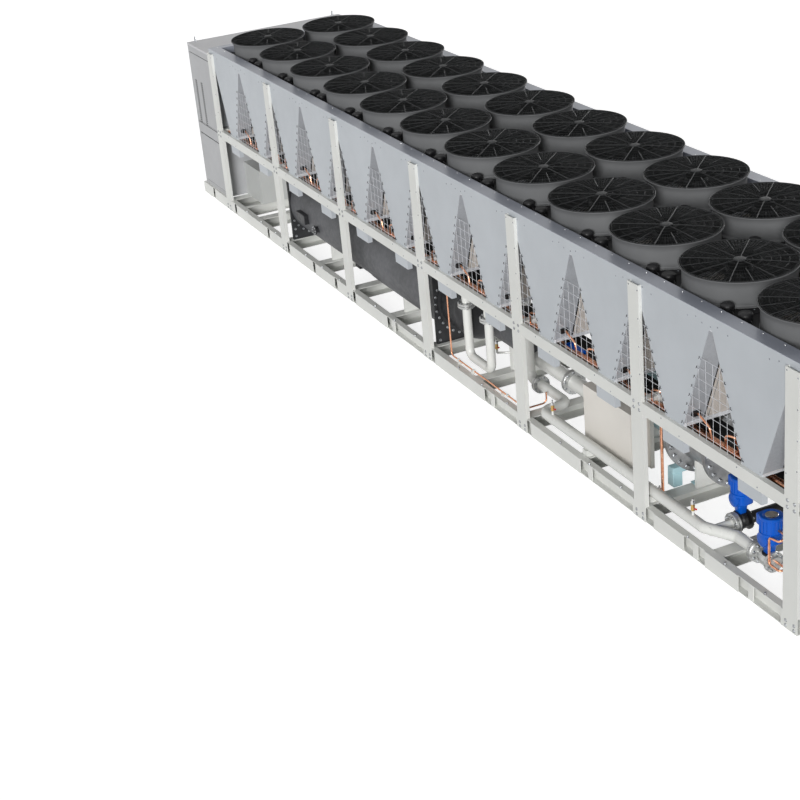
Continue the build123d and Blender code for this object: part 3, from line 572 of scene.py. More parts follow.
def guardDome():
    # thin dome just below the bars; the map holds radius in metres and turn as a share
    v = guardValues
    r = np.linspace(v["hub"] - 0.004, v["rim"] - 0.002, 6)[:, None]
    a = np.linspace(0, 2 * np.pi, 49)[None]
    points = np.stack([r * np.cos(a), r * np.sin(a), domeHeight(r) - 0.003 + 0 * a], -1)
    chart = np.stack(np.broadcast_arrays(r, a / (2 * np.pi)), -1).reshape(-1, 2)
    return copies(gridShell(points), fanPlaces), np.tile(chart, (len(fanPlaces), 1))


dome, domeChart = guardDome()
domePiece = piece("guardDomes", [dome], guardMesh, "guard_wire")
layer = domePiece.data.uv_layers.new(name="fanMap")
corners = np.empty(len(domePiece.data.loops), np.int32)
domePiece.data.loops.foreach_get("vertex_index", corners)
layer.data.foreach_set("uv", domeChart[corners].astype(np.float32).ravel())
print("guards built")

rotorValues = {"blades": 5, "tip": 0.434, "rootChord": 0.095, "tipChord": 0.205, "rootPitch": 40,
               "tipPitch": 22, "sweep": 9, "thickness": 0.007, "hub": 0.128}


def bladeShell():
    # r from hub to tip; chord and pitch fall linearly, the mid line sweeps back, camber is a low arc
    v = rotorValues
    u = np.linspace(0, 1, 9)[:, None]
    s = np.linspace(-1, 1, 7)[None]
    r = v["hub"] - 0.01 + (v["tip"] - v["hub"] + 0.01) * u
    chord = v["rootChord"] + (v["tipChord"] - v["rootChord"]) * u
    angle = np.radians(v["rootPitch"] + (v["tipPitch"] - v["rootPitch"]) * u)
    across, lift = s * chord / 2, 0.10 * chord * (1 - s ** 2)
    reach = r * np.sqrt(np.clip(1 - (across / np.maximum(r, 0.12) * 0.5) ** 2, 0, 1)) - 0.012 * u * s ** 2
    turn = -np.radians(v["sweep"]) * u ** 2
    flatY = across * np.cos(angle) - lift * np.sin(angle)
    z = across * np.sin(angle) + lift * np.cos(angle)
    x = reach * np.cos(turn) - flatY * np.sin(turn)
    y = reach * np.sin(turn) + flatY * np.cos(turn)
    half = v["thickness"] / 2 * np.sqrt(np.clip(1.02 - s ** 2, 0.02, 1)) + 0 * u
    top = np.stack([x, y, z + half], -1)
    under = np.stack([x, y, z - half], -1)
    return gridShell(np.concatenate([top, under[:, ::-1]], 1), closeV=True)


def bladeCaps(shell, rows=9, across=7):
    # closes the root and the tip with one face each
    points, groups = shell
    ring = np.arange(2 * across)
    return points, groups + [ring[None], (ring + (rows - 1) * 2 * across)[None, ::-1]]


def fanRotor(low, high):
    v = rotorValues
    middle = (low.z + high.z) / 2
    blades = inARing(bladeCaps(bladeShell()), v["blades"], place=(0, 0, middle))
    hub = [(0.100, low.z + 0.008), (v["hub"] - 0.004, low.z + 0.012), (v["hub"], low.z + 0.02),
           (v["hub"], high.z - 0.022), (v["hub"] - 0.006, high.z - 0.012), (0.09, high.z - 0.0085),
           (0.03, high.z - 0.0085)]
    return [blades, lathe(hub, 40)]


for row, y in fanRows.items():
    for k in range(fanCount):
        node = f"fan_rotor_{row}_{k + 1:02d}"
        low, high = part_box(node)
        shells = [placed(shell, (station((k + 0.5) * pitch), y, 0)) for shell in fanRotor(low, high)]
        piece(f"fanRotor_{row}_{k + 1:02d}", shells, bladePlastic, "rotor_plastic", node,
              body=f"fan_{row}_{k + 1:02d}")

motorValues = {"radius": 0.092, "ribs": 24, "ribDepth": 0.006, "shaft": 0.024}


def fanMotors():
    # ribbed case under the guard's hub with its shaft down to the rotor
    v = motorValues
    top, low, r = rimTop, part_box("fan_motors")[0].z, v["radius"]
    case = [(r * 0.7, top - 0.058), (r, top - 0.052), (r, top - 0.006), (r * 0.9, top)]
    shaft = [(v["shaft"] - 0.002, low), (v["shaft"], low + 0.002), (v["shaft"], top - 0.05)]
    rib = blockShell((r - 0.004, -0.002, top - 0.05), (r + v["ribDepth"], 0.002, top - 0.01), 0.001)
    return copies(joined([lathe(case, 32), lathe(shaft, 20), inARing(rib, v["ribs"])]), fanPlaces)


piece("fanMotors", [fanMotors()], castBlack, "cast_black", "fan_motors")

coverValues = {"places": ((0.392, -0.402), (0.640, -0.400)), "radii": (0.060, 0.066), "height": 0.085,
               "gland": 0.034}


def fanTerminalCovers():
    # drum with a rolled rim line under a domed cap
    v = coverValues
    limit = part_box("fan_terminal_covers")[1].x
    shells = []
    h = v["height"]
    t = np.linspace(0, np.pi / 2, 6)[:-1]
    for (dx, dy), r in zip(v["places"], v["radii"]):
        cap = np.stack([(r - 0.002) * np.cos(t), h - 0.026 + 0.026 * np.sin(t)], -1)
        side = [(r * 0.98, 0), (r * 0.98, h * 0.42), (r * 0.94, h * 0.44), (r * 0.94, h * 0.48), (r, h * 0.5),
                (r, h * 0.62), (r - 0.001, h * 0.66)]
        drum = lathe(np.vstack([side, cap, [(0.006, h)]]), 28)
        run = [(r * 0.9, 0, 0.02), (r + 0.018, 0, 0.02), (r + 0.03, 0, 0.012), (r + v["gland"], 0, 0.002)]
        spots = fanPlaces + (dx, dy, deckTop)
        for shell, reach in ((drum, r), (tube(run, 0.006, 8), r + v["gland"])):
            shells.append(copies(shell, spots[spots[:, 0] + reach < limit + 0.02]))
    return joined(shells)


piece("fanTerminalCovers", [fanTerminalCovers()], blackPlastic, "shroud_plastic", "fan_terminal_covers")
print("rotors, motors and covers built")

# Deck: folds and screws

deckValues = {"fold": 0.012, "foldHeight": 0.006, "screws": 8, "screwRadius": 0.53}


def deckFolds():
    # a raised fold across the deck between the fans and one along its middle
    v = deckValues
    low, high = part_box("fan_deck")
    z1, z2, half = deckTop - 0.001, deckTop + v["foldHeight"], v["fold"]
    folds = [blockShell((station(s) - half, low.y, z1), (station(s) + half, high.y, z2)) for s in gapStations]
    folds.append(blockShell((low.x, -half, z1), (high.x, half, z2)))
    return folds


def deckScrews():
    # screws round the foot of each shroud
    v = deckValues
    angle = (np.arange(v["screws"]) + 0.5) * 2 * np.pi / v["screws"]
    around = np.stack([np.cos(angle), np.sin(angle), 0 * angle], -1) * v["screwRadius"]
    spots = fanPlaces[:, None] + around + (0, 0, deckTop)
    return copies(screwHead(**roofScrew), spots)


piece("deckFolds", deckFolds(), coats["deck"], "black_deck")
piece("deckScrews", [deckScrews()], screwSteel, "black_deck")

# Gap guards: level wires with bent, screwed ends and upright wires behind them

guardWireValues = {"pitchZ": 0.100, "pitchX": 0.100, "top": 1.985, "radius": 0.0022, "overhang": 0.026,
                   "firstUp": 0.045, "drop": 0.020, "bend": 0.006, "hookWire": 0.0034, "proud": 0.0026}


def gapTop(half):
    # height at which a gap has narrowed to a half width
    return layout["gapApex"] - (half - layout["gapApexHalf"]) / layout["gapSlope"]


def gapGuards():
    v = guardWireValues
    y = nearSheet - v["proud"]
    shells, screws, hooks = [], [], []
    levels = np.arange(midTop + v["firstUp"], v["top"], v["pitchZ"])
    widest = gapHalf(midTop)
    for s in gapStations:
        x = station(s)
        inner = layout["postHalf"] if abs(s % bay) < 0.01 else 0
        for z in levels:
            half = gapHalf(z) + v["overhang"]
            if half < inner + 0.03:
                continue
            for side in (-1, 1):
                end = x + side * half
                corners = [(x + side * inner, y, z), (end - side * v["bend"], y, z), (end, y, z - v["drop"])]
                shells.append(tube(bentPath(corners, v["bend"], 3), v["radius"], 6))
                screws.append((end - side * 0.016, nearSheet - 0.0005, z - 0.010))
                hook = [(end + side * 0.010, y - 0.002, z - 0.014),
                        (end - side * 0.004, y - 0.004, z - 0.004),
                        (end - side * 0.004, y - 0.004, z + 0.012)]
                hooks.append(tube(hook, v["hookWire"], 5))
        count = int(widest / v["pitchX"])
        for n in range(-count, count + 1):
            dx = n * v["pitchX"] + 0.02
            if abs(dx) < inner or abs(dx) > widest - 0.01:
                continue
            reach = min(v["top"] - 0.02, gapTop(abs(dx)))
            path = [(x + dx, y + 2 * v["radius"], midTop), (x + dx, y + 2 * v["radius"], reach)]
            shells.append(tube(path, v["radius"], 6))
    return shells, np.array(screws), hooks


wires, guardScrews, hooks = gapGuards()
piece("guardHooks", bothSides(hooks), castBlack, "zinc_wire")
piece("gapGuards", bothSides(wires), paleZinc, "zinc_wire", "gap_guards")

# Screws on the side sheets, the rails and the roof strips

screwPlaces = {"sheet": ((-0.33, 2.290), (-0.21, 2.316), (-0.12, 2.290), (0.0, 2.290), (0.10, 2.319),
                         (0.24, 2.295)),
               "post": ((-0.066, 2.305), (0.072, 2.285), (0.072, 2.020), (0.072, 1.755), (0.072, 1.490),
                        (-0.066, 1.420)),
               "rail": ((0.12, midBottom + 0.028), (-0.16, midTop - 0.03)), "legEdge": 0.02, "legRise": 0.03,
               "first": station(-0.085), "last": railHigh.x - 0.01}


def sideScrews():
    # each pattern of (along, height) pairs repeats at its stations, on the sheets or on the frame's face
    v = screwPlaces
    half = pitch / 2 - gapHalf(midTop) - v["legEdge"]
    legs = [(side * half, z) for side in (-1, 1) for z in (midTop + v["legRise"], midBottom - v["legRise"])]
    edges = np.arange(fanCount + 1) * pitch
    middles = (np.arange(fanCount) + 0.5) * pitch
    rows = ((edges, nearSheet, v["sheet"]), (middles, nearSheet, legs), (middles, -frameFace, v["rail"]),
            (np.arange(bays + 1) * bay, -frameFace, v["post"]))
    spots = [guardScrews] + [[(station(s) + dx, y, z) for dx, z in pattern]
                             for stations, y, pattern in rows for s in stations]
    spots = np.concatenate(spots)
    spots = spots[(spots[:, 0] > v["first"]) & (spots[:, 0] < v["last"])]
    return bothSides([copies(screwHead(**sideScrew), spots, facing((0, -1, 0), len(spots)))])


piece("sideScrews", sideScrews(), screwSteel, "zinc_sheet")

roofValues = {"screwPitch": 0.28, "first": 0.08, "inset": 0.12}


def roofScrews():
    v = roofValues
    low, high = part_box("roof_edge_strips")
    spots = [(x, inset(v["inset"]), high.z) for x in np.arange(low.x + v["first"], high.x, v["screwPitch"])]
    return bothSides([copies(screwHead(**roofScrew), spots)])


piece("roofScrews", roofScrews(), chrome, "roof_metal")

boltValues = {"radius": 0.013, "height": 0.0072, "spreadX": 0.045, "footSpreadX": 0.054, "spreadZ": 0.030,
              "footRows": (0.028, 0.075), "railSteps": (0.76, 1.32, 1.89), "railInset": 0.016}


def frameBolts():
    # groups of four where each post meets the mid rail and the base, and upright ones along the base rails
    v = boltValues
    spots = []
    middle = (midTop + midBottom) / 2
    for n in range(bays + 1):
        x = station(n * bay)
        for side in (-1, 1):
            for z in (middle - v["spreadZ"], middle + v["spreadZ"]):
                spots.append((min(x + side * v["spreadX"], railHigh.x - 0.03), -frameFace, z))
            for z in v["footRows"]:
                spots.append((x + side * v["footSpreadX"], -frameFace, z))
    near = copies(hexBolt(v["radius"], v["height"]), spots, facing((0, -1, 0), len(spots)))
    rail = [(station(n * bay + step), v["railInset"] - frameFace, baseTop)
            for n in range(bays) for step in v["railSteps"]]
    return bothSides([near, copies(hexBolt(0.010, 0.016), rail)])


piece("frameBolts", frameBolts(), boltSteel, "zinc_sheet", "frame_bolts")
print("guards, screws and bolts built")

# Copper between the coil modules

copperValues = {"mains": ((0.100, 1.170), (0.190, 1.122)), "main": 0.017, "endGap": 0.04, "branch": 0.010,
                "run": ((0.0, 0.10, 1.35), (0.06, 0.10, 1.33), (0.19, 0.10, 1.28), (0.21, 0.10, 1.18)),
                "hook": ((0.42, 0.10, 1.175), (0.42, 0.10, 1.30), (0.50, 0.14, 1.30), (0.50, 0.19, 1.13)),
                "sleeve": ((-0.22, 0.145, 1.150), (0.16, 0.145, 1.150)), "sleeveRadius": 0.021,
                "clampHeight": 1.35, "clamp": ((-0.012, 0.05, -0.03), (0.03, 0.13, 0.02))}
shadeTrayValues = {"endGap": 0.05, "out": 0.025, "depth": 0.46, "rise": 0.008, "thickness": 0.0025}


def copperMains():
    # two level mains in each bay; at each gap a branch from its clamp, a hook between the mains and a sleeve
    v = copperValues
    shells = []
    for n in range(bays):
        for d, z in v["mains"]:
            ends = [at(n * bay + v["endGap"], d, z), at((n + 1) * bay - v["endGap"], d, z)]
            shells.append(tube(ends, v["main"], 14))
    for s in gapStations:
        edge = s - gapHalf(v["clampHeight"]) + v["branch"]
        for key, bend in (("run", 0.030), ("hook", 0.028)):
            path = bentPath([at(edge + along, d, z) for along, d, z in v[key]], bend)
            shells.append(tube(path, v["branch"], 10))
        shells.append(tube([at(s + along, d, z) for along, d, z in v["sleeve"]], v["sleeveRadius"], 14))
    return shells


piece("copperMains", copperMains(), copper, "copper", "coil_headers")


def clampBlocks():
    # block on the coil's edge at the head of each branch, as offsets from the gap's edge
    v = copperValues
    height = v["clampHeight"]
    return [blockShell(*[at(s - gapHalf(height) + along, d, height + z) for along, d, z in v["clamp"]], 0.004)
            for s in gapStations]


piece("copperClamps", clampBlocks(), blackPlastic, "cast_black")


def shadeTrays():
    # dark sheet that rests on the lower flange of the mid rail: painted shade under the copper, seen through
    # the gaps
    v = shadeTrayValues
    z = midBottom + v["rise"]
    return bothSides([blockShell(at(n * bay + v["endGap"], -v["out"], z),
                                 at((n + 1) * bay - v["endGap"], v["depth"], z + v["thickness"]), 0.0005)
                      for n in range(bays)])


# the trays' dark sheet is painted shade below the copper mains
piece("shadeTrays", shadeTrays(), coats["deck"], "black_deck")


coilValues = {"foot": 1.245, "head": 2.245, "plate": 0.185, "fold": 0.012, "slot": 0.017, "barDepth": 1.0}


def coilSidePlates(strips):
    # folded plates along both edges of each gap: (start, end, lift) as insets and how proud they stand
    v = coilValues
    z = np.array([v["foot"], v["head"]])
    edge = pitch / 2 - gapHalf(z)
    shells = []
    for k in range(fanCount):
        x = station((k + 0.5) * pitch)
        for side in (-1, 1):
            for start, end, lift in strips:
                outer = np.array([[(x + side * (ee + lift), inset(d), zz) for zz, ee in zip(z, edge)]
                                  for d in (start, end)])
                inward = np.array([-side * (lift + 0.004), 0, 0])
                ring = np.stack([outer[0], outer[1], outer[1] + inward, outer[0] + inward])
                points, groups = gridShell(ring, closeU=True)
                shells.append((points, [group[:, ::side] for group in groups]))
    return bothSides(shells)


plateEnd = coilValues["plate"]
foldEnd = plateEnd + coilValues["fold"]
# the side plates take the darker zinc copy as painted shade inside the gaps
piece("coilSidePlates", coilSidePlates(((0.006, plateEnd, 0.0015), (plateEnd, foldEnd, 0.0055))), shadedZinc,
      "zinc_sheet")
# black strip filling the slot beside each fold: painted shade in the slot
piece("coilSlotShade", coilSidePlates(((foldEnd + 0.001, foldEnd + 0.001 + coilValues["slot"], 0.0012),)),
      blackPlastic, "coil_fins")


def panBars():
    # pale folded bar over the foot of each coil, running across the machine
    z, deep = coilValues["foot"], coilValues["barDepth"]
    spots = [s + side * gapHalf(z) for s in gapStations for side in (-1, 1)]
    return bothSides([blockShell(at(s - 0.012, 0.012, z - 0.009), at(s + 0.012, deep, z + 0.011))
                      for s in spots])


piece("panBars", panBars(), paleZinc, "zinc_sheet")
controlSpan = ((9.63, 0.13, 1.130), (9.91, 0.215, 1.168))
controlBox = blockShell(*[at(*corner) for corner in controlSpan], 0.004)
piece("controlBox", [controlBox], blueCoat, "actuator_blue")
print("copper and coil plates built")

# Cabinet: louvres, seals and eyes

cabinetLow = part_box("cabinet_panels")[0]
louvreValues = {"columns": (-0.90, -0.65), "width": 0.075, "rows": 22, "top": 1.78, "pitch": 0.030,
                "depth": 0.004, "mouth": 0.008}


def louvreSpots(proud, down=0.0):
    v = louvreValues
    return [(station(s), cabinetLow.y + proud, v["top"] - (n + down) * v["pitch"])
            for s in v["columns"] for n in range(v["rows"])]


def louvres():
    # each slot is a low scoop: depth (1 - u^4) sin(pi t^0.6), u across and t up the slot
    v = louvreValues
    u = np.linspace(-1, 1, 7)[:, None]
    t = np.linspace(0, 1, 5)[None]
    lift = v["depth"] * (1 - u ** 4) * np.sin(np.pi * t ** 0.6)
    scoop = np.stack([u * v["width"] / 2 + 0 * t, -lift, (t - 0.5) * v["pitch"] * 0.6 + 0 * u], -1)
    return bothSides([copies(gridShell(scoop), louvreSpots(0.0002))])


def louvreMouthShade():
    # dark block behind each louvre's opening: painted shade inside the slot
    v = louvreValues
    half = v["width"] * 0.46
    mouth = blockShell((-half, -0.0042, -v["mouth"]), (half, 0.0, v["mouth"]), 0.0005)
    return bothSides([copies(mouth, louvreSpots(0.0005, 0.3))])


piece("cabinetLouvres", louvres(), coats["cabinet"], "cabinet_paint")
# dark blocks in the louvre openings: painted shade
piece("louvreMouthShade", louvreMouthShade(), blackPlastic, "cabinet_paint")

cabinetBodyLow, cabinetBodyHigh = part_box("cabinet_body")
sealValues = {"margin": 0.070, "panels": ((0.220, 0.947), (0.965, 1.115), (1.140, 2.170)), "width": 0.007,
              "proud": 0.002}


def cabinetSeals():
    # dark rubber strip round each side panel, lying on the cabinet's side
    v = sealValues
    w = v["width"]
    x1, x2 = cabinetBodyLow.x + v["margin"], cabinetBodyHigh.x - v["margin"]
    y1, y2 = cabinetBodyLow.y - v["proud"], cabinetBodyLow.y
    strips = []
    for z1, z2 in v["panels"]:
        strips += [blockShell((x, y1, z1), (x + w, y2, z2), 0.0004) for x in (x1 - w, x2)]
        strips += [blockShell((x1 - w, y1, z), (x2 + w, y2, z + w), 0.0004) for z in (z1 - w, z2)]
    return bothSides(strips)


piece("cabinetSeals", cabinetSeals(), blackPlastic, "cabinet_paint")

eyeValues = {"bar": 0.008, "span": 0.056, "insets": (0.120, 2.330)}


def liftingEyes():
    # half round of bar on two straight legs, on a small foot plate
    v = eyeValues
    low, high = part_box("lifting_eyes")
    x, top, base = (low.x + high.x) / 2, high.z - v["bar"], low.z
    arch = np.pi * np.linspace(0, 1, 9)
    half = v["span"] / 2
    crown = np.stack([x - half * np.cos(arch), 0 * arch, top - half + half * np.sin(arch)], -1)
    eye = tube(np.vstack([[(x - half, 0, base)], crown, [(x + half, 0, base)]]), v["bar"], 10)
    foot = blockShell((x - half - 0.012, -0.02, base), (x + half + 0.012, 0.02, base + 0.004))
    return [copies(joined([eye, foot]), [(0, inset(d), 0) for d in v["insets"]])]


piece("liftingEyes", liftingEyes(), zinc, "zinc_sheet", "lifting_eyes")

# Evaporator


def alongX(profile, y, z, segments=64):
    # profile of (x, radius) pairs turned about a level line
    pairs = [(r, x) for x, r in profile]
    return placed(lathe(pairs, segments), (0, y, z), (1, 0, 0))


shellLow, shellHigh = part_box("evaporator_shell")
endLow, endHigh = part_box("evaporator_ends")
evaporator = {"y": (shellLow.y + shellHigh.y) / 2, "z": (shellLow.z + shellHigh.z) / 2,
              "radius": (shellHigh.z - shellLow.z) / 2, "start": shellLow.x, "end": shellHigh.x,
              "joint": station(4.760), "step": 0.012, "sheet": station(6.700), "near": endLow.x - 0.002,
              "thick": 0.040, "half": 0.452, "cover": 0.385, "rim": 0.413875, "seamDepth": 0.0025,
              "seamPitch": 1.18, "seamWidth": 0.03, "coverBolts": 32, "lowRing": 0.466}
fittingValues = {"box": (2.65, 2.93, 0.55, 0.68), "proud": 0.045, "port": (3.23, 0.56), "portRing": 0.050,
                 "foot": (4.08, 4.22, 0.27, 0.33), "studs": (4.10, 4.15, 4.20)}


def evaporatorShell():
    # foam skin in two courses: radius rises by the step at the joint, seams dip by a bell exp(-(x / w)^2)
    e = evaporator
    x = np.concatenate([np.linspace(endLow.x + e["thick"] - 0.004, e["joint"] - 0.012, 40),
                        np.linspace(e["joint"], e["sheet"], 40)])
    course = e["radius"] - e["step"] * (x < e["joint"] - 0.006)
    half = e["seamPitch"] / 2
    away = (x - e["start"] + half) % e["seamPitch"] - half
    seams = e["seamDepth"] * np.exp(-(away / e["seamWidth"]) ** 2)
    return alongX(np.stack([x, course - seams], -1), e["y"], e["z"], 72)


def evaporatorEnds():
    # tube sheets stand on the cross members; the cover is r = R sqrt(1 - t^2) beyond a short drum
    e = evaporator
    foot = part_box("base_cross_members")[1].z
    y1, y2, top = e["y"] - e["half"], e["y"] + e["half"], e["z"] + e["half"]
    sheets = [blockShell((x, y1, foot), (x + e["thick"], y2, top), 0.006) for x in (e["near"], e["sheet"])]
    first = e["sheet"] + e["thick"]
    t = np.linspace(0, 1, 12)[:-1]
    dome = np.stack([e["end"] + (endHigh.x - e["end"]) * t, e["cover"] * np.sqrt(1 - t ** 2)], -1)
    groove = e["cover"] * 0.985
    drum = [(first - 0.004, e["rim"]), (first + 0.020, e["rim"]), (first + 0.024, e["cover"]),
            (first + 0.16, e["cover"]), (first + 0.162, groove), (first + 0.17, groove),
            (first + 0.172, e["cover"])]
    return sheets + [alongX(np.vstack([drum, dome]), e["y"], e["z"])]


def evaporatorFittings():
    # junction box with a lid, a capped port with its bolts, and a flange under the joint
    e, v = evaporator, fittingValues
    front = e["y"] - e["radius"]
    face = front - v["proud"]
    s1, s2, z1, z2 = v["box"]
    box = blockShell((station(s1), face, z1), (station(s2), front + 0.12, z2), 0.004)
    lid = blockShell((station(s1 + 0.005), face - 0.003, z1 + 0.006),
                     (station(s2 - 0.005), face + 0.003, z2 - 0.006), 0.002)
    s, z = v["port"]
    cap = [(0.046, 0), (0.046, 0.12), (0.062, 0.121), (0.062, 0.136), (0.058, 0.138), (0.02, 0.140)]
    port = placed(lathe(cap, 32), (station(s), front + 0.10, z), (0, -1, 0))
    bolts = boltRing((station(s), front - 0.038, z), (0, -1, 0), v["portRing"], 8, hexBolt(0.008, 0.009))
    s1, s2, z1, z2 = v["foot"]
    foot = blockShell((station(s1), e["y"] - 0.30, z1), (station(s2), e["y"] - 0.22, z2), 0.004)
    studs = copies(hexBolt(0.012, 0.02), [(station(s), e["y"] - 0.285, z2) for s in v["studs"]])
    return [box, lid, port, foot], [bolts, studs]


def evaporatorBolts():
    # round the cover, below the shell at the near end, and at the lower corners of both sheets
    e = evaporator
    bolt = hexBolt(0.012, 0.016)
    near, far = e["near"] + e["thick"], e["sheet"] + e["thick"]
    ring = boltRing((far, e["y"], e["z"]), (1, 0, 0), e["rim"] + 0.020, e["coverBolts"], bolt)
    angle = np.radians(np.arange(-62, 63, 11.25))
    reach = e["lowRing"]
    low = [(near, e["y"] + reach * np.sin(a), e["z"] - reach * np.cos(a)) for a in angle]
    corners = [(x, e["y"] + side * 0.41, z) for x in (near, far) for side in (-1, 1) for z in (0.20, 0.30)]
    return [ring, copies(bolt, low + corners, facing((1, 0, 0), len(low + corners)))]


piece("evaporatorShell", [evaporatorShell()], vesselFoam, "vessel_foam", "evaporator_shell")
piece("evaporatorEnds", evaporatorEnds(), vesselSteel, "vessel_steel", "evaporator_ends")
fittings, fittingBolts = evaporatorFittings()
piece("evaporatorFittings", fittings, vesselSteel, "vessel_steel")
piece("evaporatorBolts", evaporatorBolts() + fittingBolts, boltSteel, "vessel_steel")

separatorLow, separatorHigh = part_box("separator_vessel")


def separatorVessel():
    # cylinder with dished ends: radius R sin t over a depth of 0.4 R
    y, z = (separatorLow.y + separatorHigh.y) / 2, (separatorLow.z + separatorHigh.z) / 2
    r = (separatorHigh.z - separatorLow.z) / 2
    t = np.linspace(0.06, np.pi / 2, 8)
    rise, radius = 0.4 * r * (1 - np.cos(t)), r * np.sin(t)
    left = np.stack([separatorLow.x + rise, radius], -1)
    right = np.stack([separatorHigh.x - rise, radius], -1)[::-1]
    return alongX(np.vstack([left, right]), y, z, 56)


piece("separatorVessel", [separatorVessel()], vesselFoam, "vessel_foam", "separator_vessel")

# Pipework

# half of a flange pair's thickness, and the turn of a bolt ring's first bolt in radians
flangeHalf = 0.026
boltPhase = 0.39
trapValues = {"inset": 0.200, "start": 6.950, "startHeight": 0.95, "places": (7.350, 7.870), "top": 1.051,
              "bottom": 0.210, "radius": 0.050, "bend": 0.090, "riser": 0.996, "endHeight": 0.80,
              "flange": 0.825, "flangeRadius": 0.098}


def suctionTrap():
    # swan neck down the front, along the bottom, up and back to the separator
    v = trapValues
    d = v["inset"]
    a, b = v["places"]
    y = (separatorLow.y + separatorHigh.y) / 2
    front = [at(v["start"], d, v["startHeight"]), at(v["start"], d, v["top"]), at(a, d, v["top"]),
             at(a, d, v["bottom"]), at(b, d, v["bottom"]), at(b, d, v["riser"])]
    back = [(station(b), y, v["riser"]), (station(b), y, v["endHeight"])]
    return tube(bentPath(front + back, v["bend"], 10), v["radius"], 28)


def flangePair(place, direction, radius, inner, bolts=8):
    # two discs with a gasket line between them
    half = flangeHalf
    profile = [(inner, -half), (radius - 0.003, -half), (radius, -half + 0.003), (radius, -0.004),
               (radius - 0.012, -0.0035), (radius - 0.012, 0.0035), (radius, 0.004), (radius, half - 0.003),
               (radius - 0.003, half), (inner, half)]
    discs = placed(lathe(profile, 40, closed=True), place, direction)
    direction, place = np.asarray(direction, float), np.asarray(place, float)
    ring = (inner + radius) / 2 + 0.008
    bolt = hexBolt(0.010, 0.012)
    both = [boltRing(place + turn * half, turn, ring, bolts, bolt, boltPhase)
            for turn in (direction, -direction)]
    return discs, joined(both)


piece("suctionTrap", [suctionTrap()], coats["pipe"], "pipe_paint", "suction_trap")

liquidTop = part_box("liquid_pipe")[1].z
motorLow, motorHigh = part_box("compressor_motor")
casingLow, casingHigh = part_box("compressor_casing")
liquidValues = {"feed": (8.620, 0.400), "feedBack": 0.19, "feedBend": 0.100, "start": 9.170, "inset": 0.090,
                "height": 0.267, "offsetInset": 0.240, "swerve": (12.050, 12.350), "end": 12.600,
                "radius": 0.054, "bend": 0.110, "branch": 12.130, "branchInset": 0.346, "flange": 0.098}
dischargeValues = {"inset": 0.580, "height": 0.390, "radius": 0.080, "flangeStation": 8.980, "turn": 9.45,
                   "rise": 0.23, "bend": 0.16, "flange": 0.133, "bolts": 10}
driveValues = {"inset": 0.76, "floor": 0.152, "half": 0.37, "leg": 0.10, "thick": 0.1, "web": 0.15,
               "foot": 0.18, "footThick": 0.012}


def liquidPipes():
    # main along the near side with a swerve, a feed that rises at its left end, a branch, the wide discharge
    v, w = liquidValues, dischargeValues
    feedX, feedY = v["feed"]
    z = v["height"]
    main = bentPath([at(feedX, feedY, z), at(v["start"], feedY, z), at(v["start"], v["inset"], z),
                     at(v["swerve"][0], v["inset"], z), at(v["swerve"][1], v["offsetInset"], z),
                     at(v["end"], v["offsetInset"], z)], v["bend"], 8)
    x = feedX - 2 * flangeHalf
    back = x - v["feedBack"]
    feed = bentPath([at(x, feedY, z), at(back, feedY, z), at(back, feedY, liquidTop)], v["feedBend"], 8)
    branch = [at(v["branch"], v["inset"], z), at(v["branch"], v["branchInset"] - flangeHalf, z)]
    upper = w["height"] + w["rise"]
    wide = bentPath([(separatorHigh.x - 0.02, inset(w["inset"]), w["height"]),
                     at(w["turn"], w["inset"], w["height"]), at(w["turn"], driveValues["inset"], upper),
                     (motorLow.x + 0.05, inset(driveValues["inset"]), upper)], w["bend"], 8)
    return [tube(main, v["radius"], 28), tube(feed, v["radius"], 28), tube(branch, v["radius"] * 0.8, 24),
            tube(wide, w["radius"], 32)]


piece("liquidPipe", liquidPipes(), coats["pipe"], "pipe_paint", "liquid_pipe")


def pipeFlanges():
    t, v, w = trapValues, liquidValues, dischargeValues
    feedX, feedY = v["feed"]
    z, bore = v["height"], v["radius"] * 0.8
    made = [flangePair(at(s, t["inset"], t["flange"]), (0, 0, 1), t["flangeRadius"], t["radius"])
            for s in t["places"]]
    made.append(flangePair(at(feedX - flangeHalf, feedY, z), (1, 0, 0), v["flange"], bore))
    made.append(flangePair(at(v["end"] + flangeHalf, v["offsetInset"], z), (1, 0, 0), v["flange"], bore))
    made.append(flangePair(at(v["branch"], v["branchInset"], z), (0, 1, 0), v["flange"], bore))
    made.append(flangePair(at(w["flangeStation"], w["inset"], w["height"]), (1, 0, 0), w["flange"],
                           w["radius"], w["bolts"]))
    return zip(*made)


discs, bolts = pipeFlanges()
piece("pipeFlanges", discs, flangeMetal, "flange_metal", "pipe_flanges")
piece("pipeFlangeBolts", bolts, boltSteel, "flange_metal")

valveValues = {"length": 0.240, "sideLength": 0.140, "outlet": 1.500, "boltRing": 0.077,
               "profile": ((0, 0.095), (0.024, 0.095), (0.026, 0.055), (0.060, 0.060), (0.085, 0.076),
                           (0.145, 0.076), (0.170, 0.060), (0.188, 0.055), (0.190, 0.095), (0.215, 0.095),
                           (0.216, 0.062), (0.236, 0.058)),
               "bolts": ((0.025, 1), (0.189, -1), (0.216, 1))}


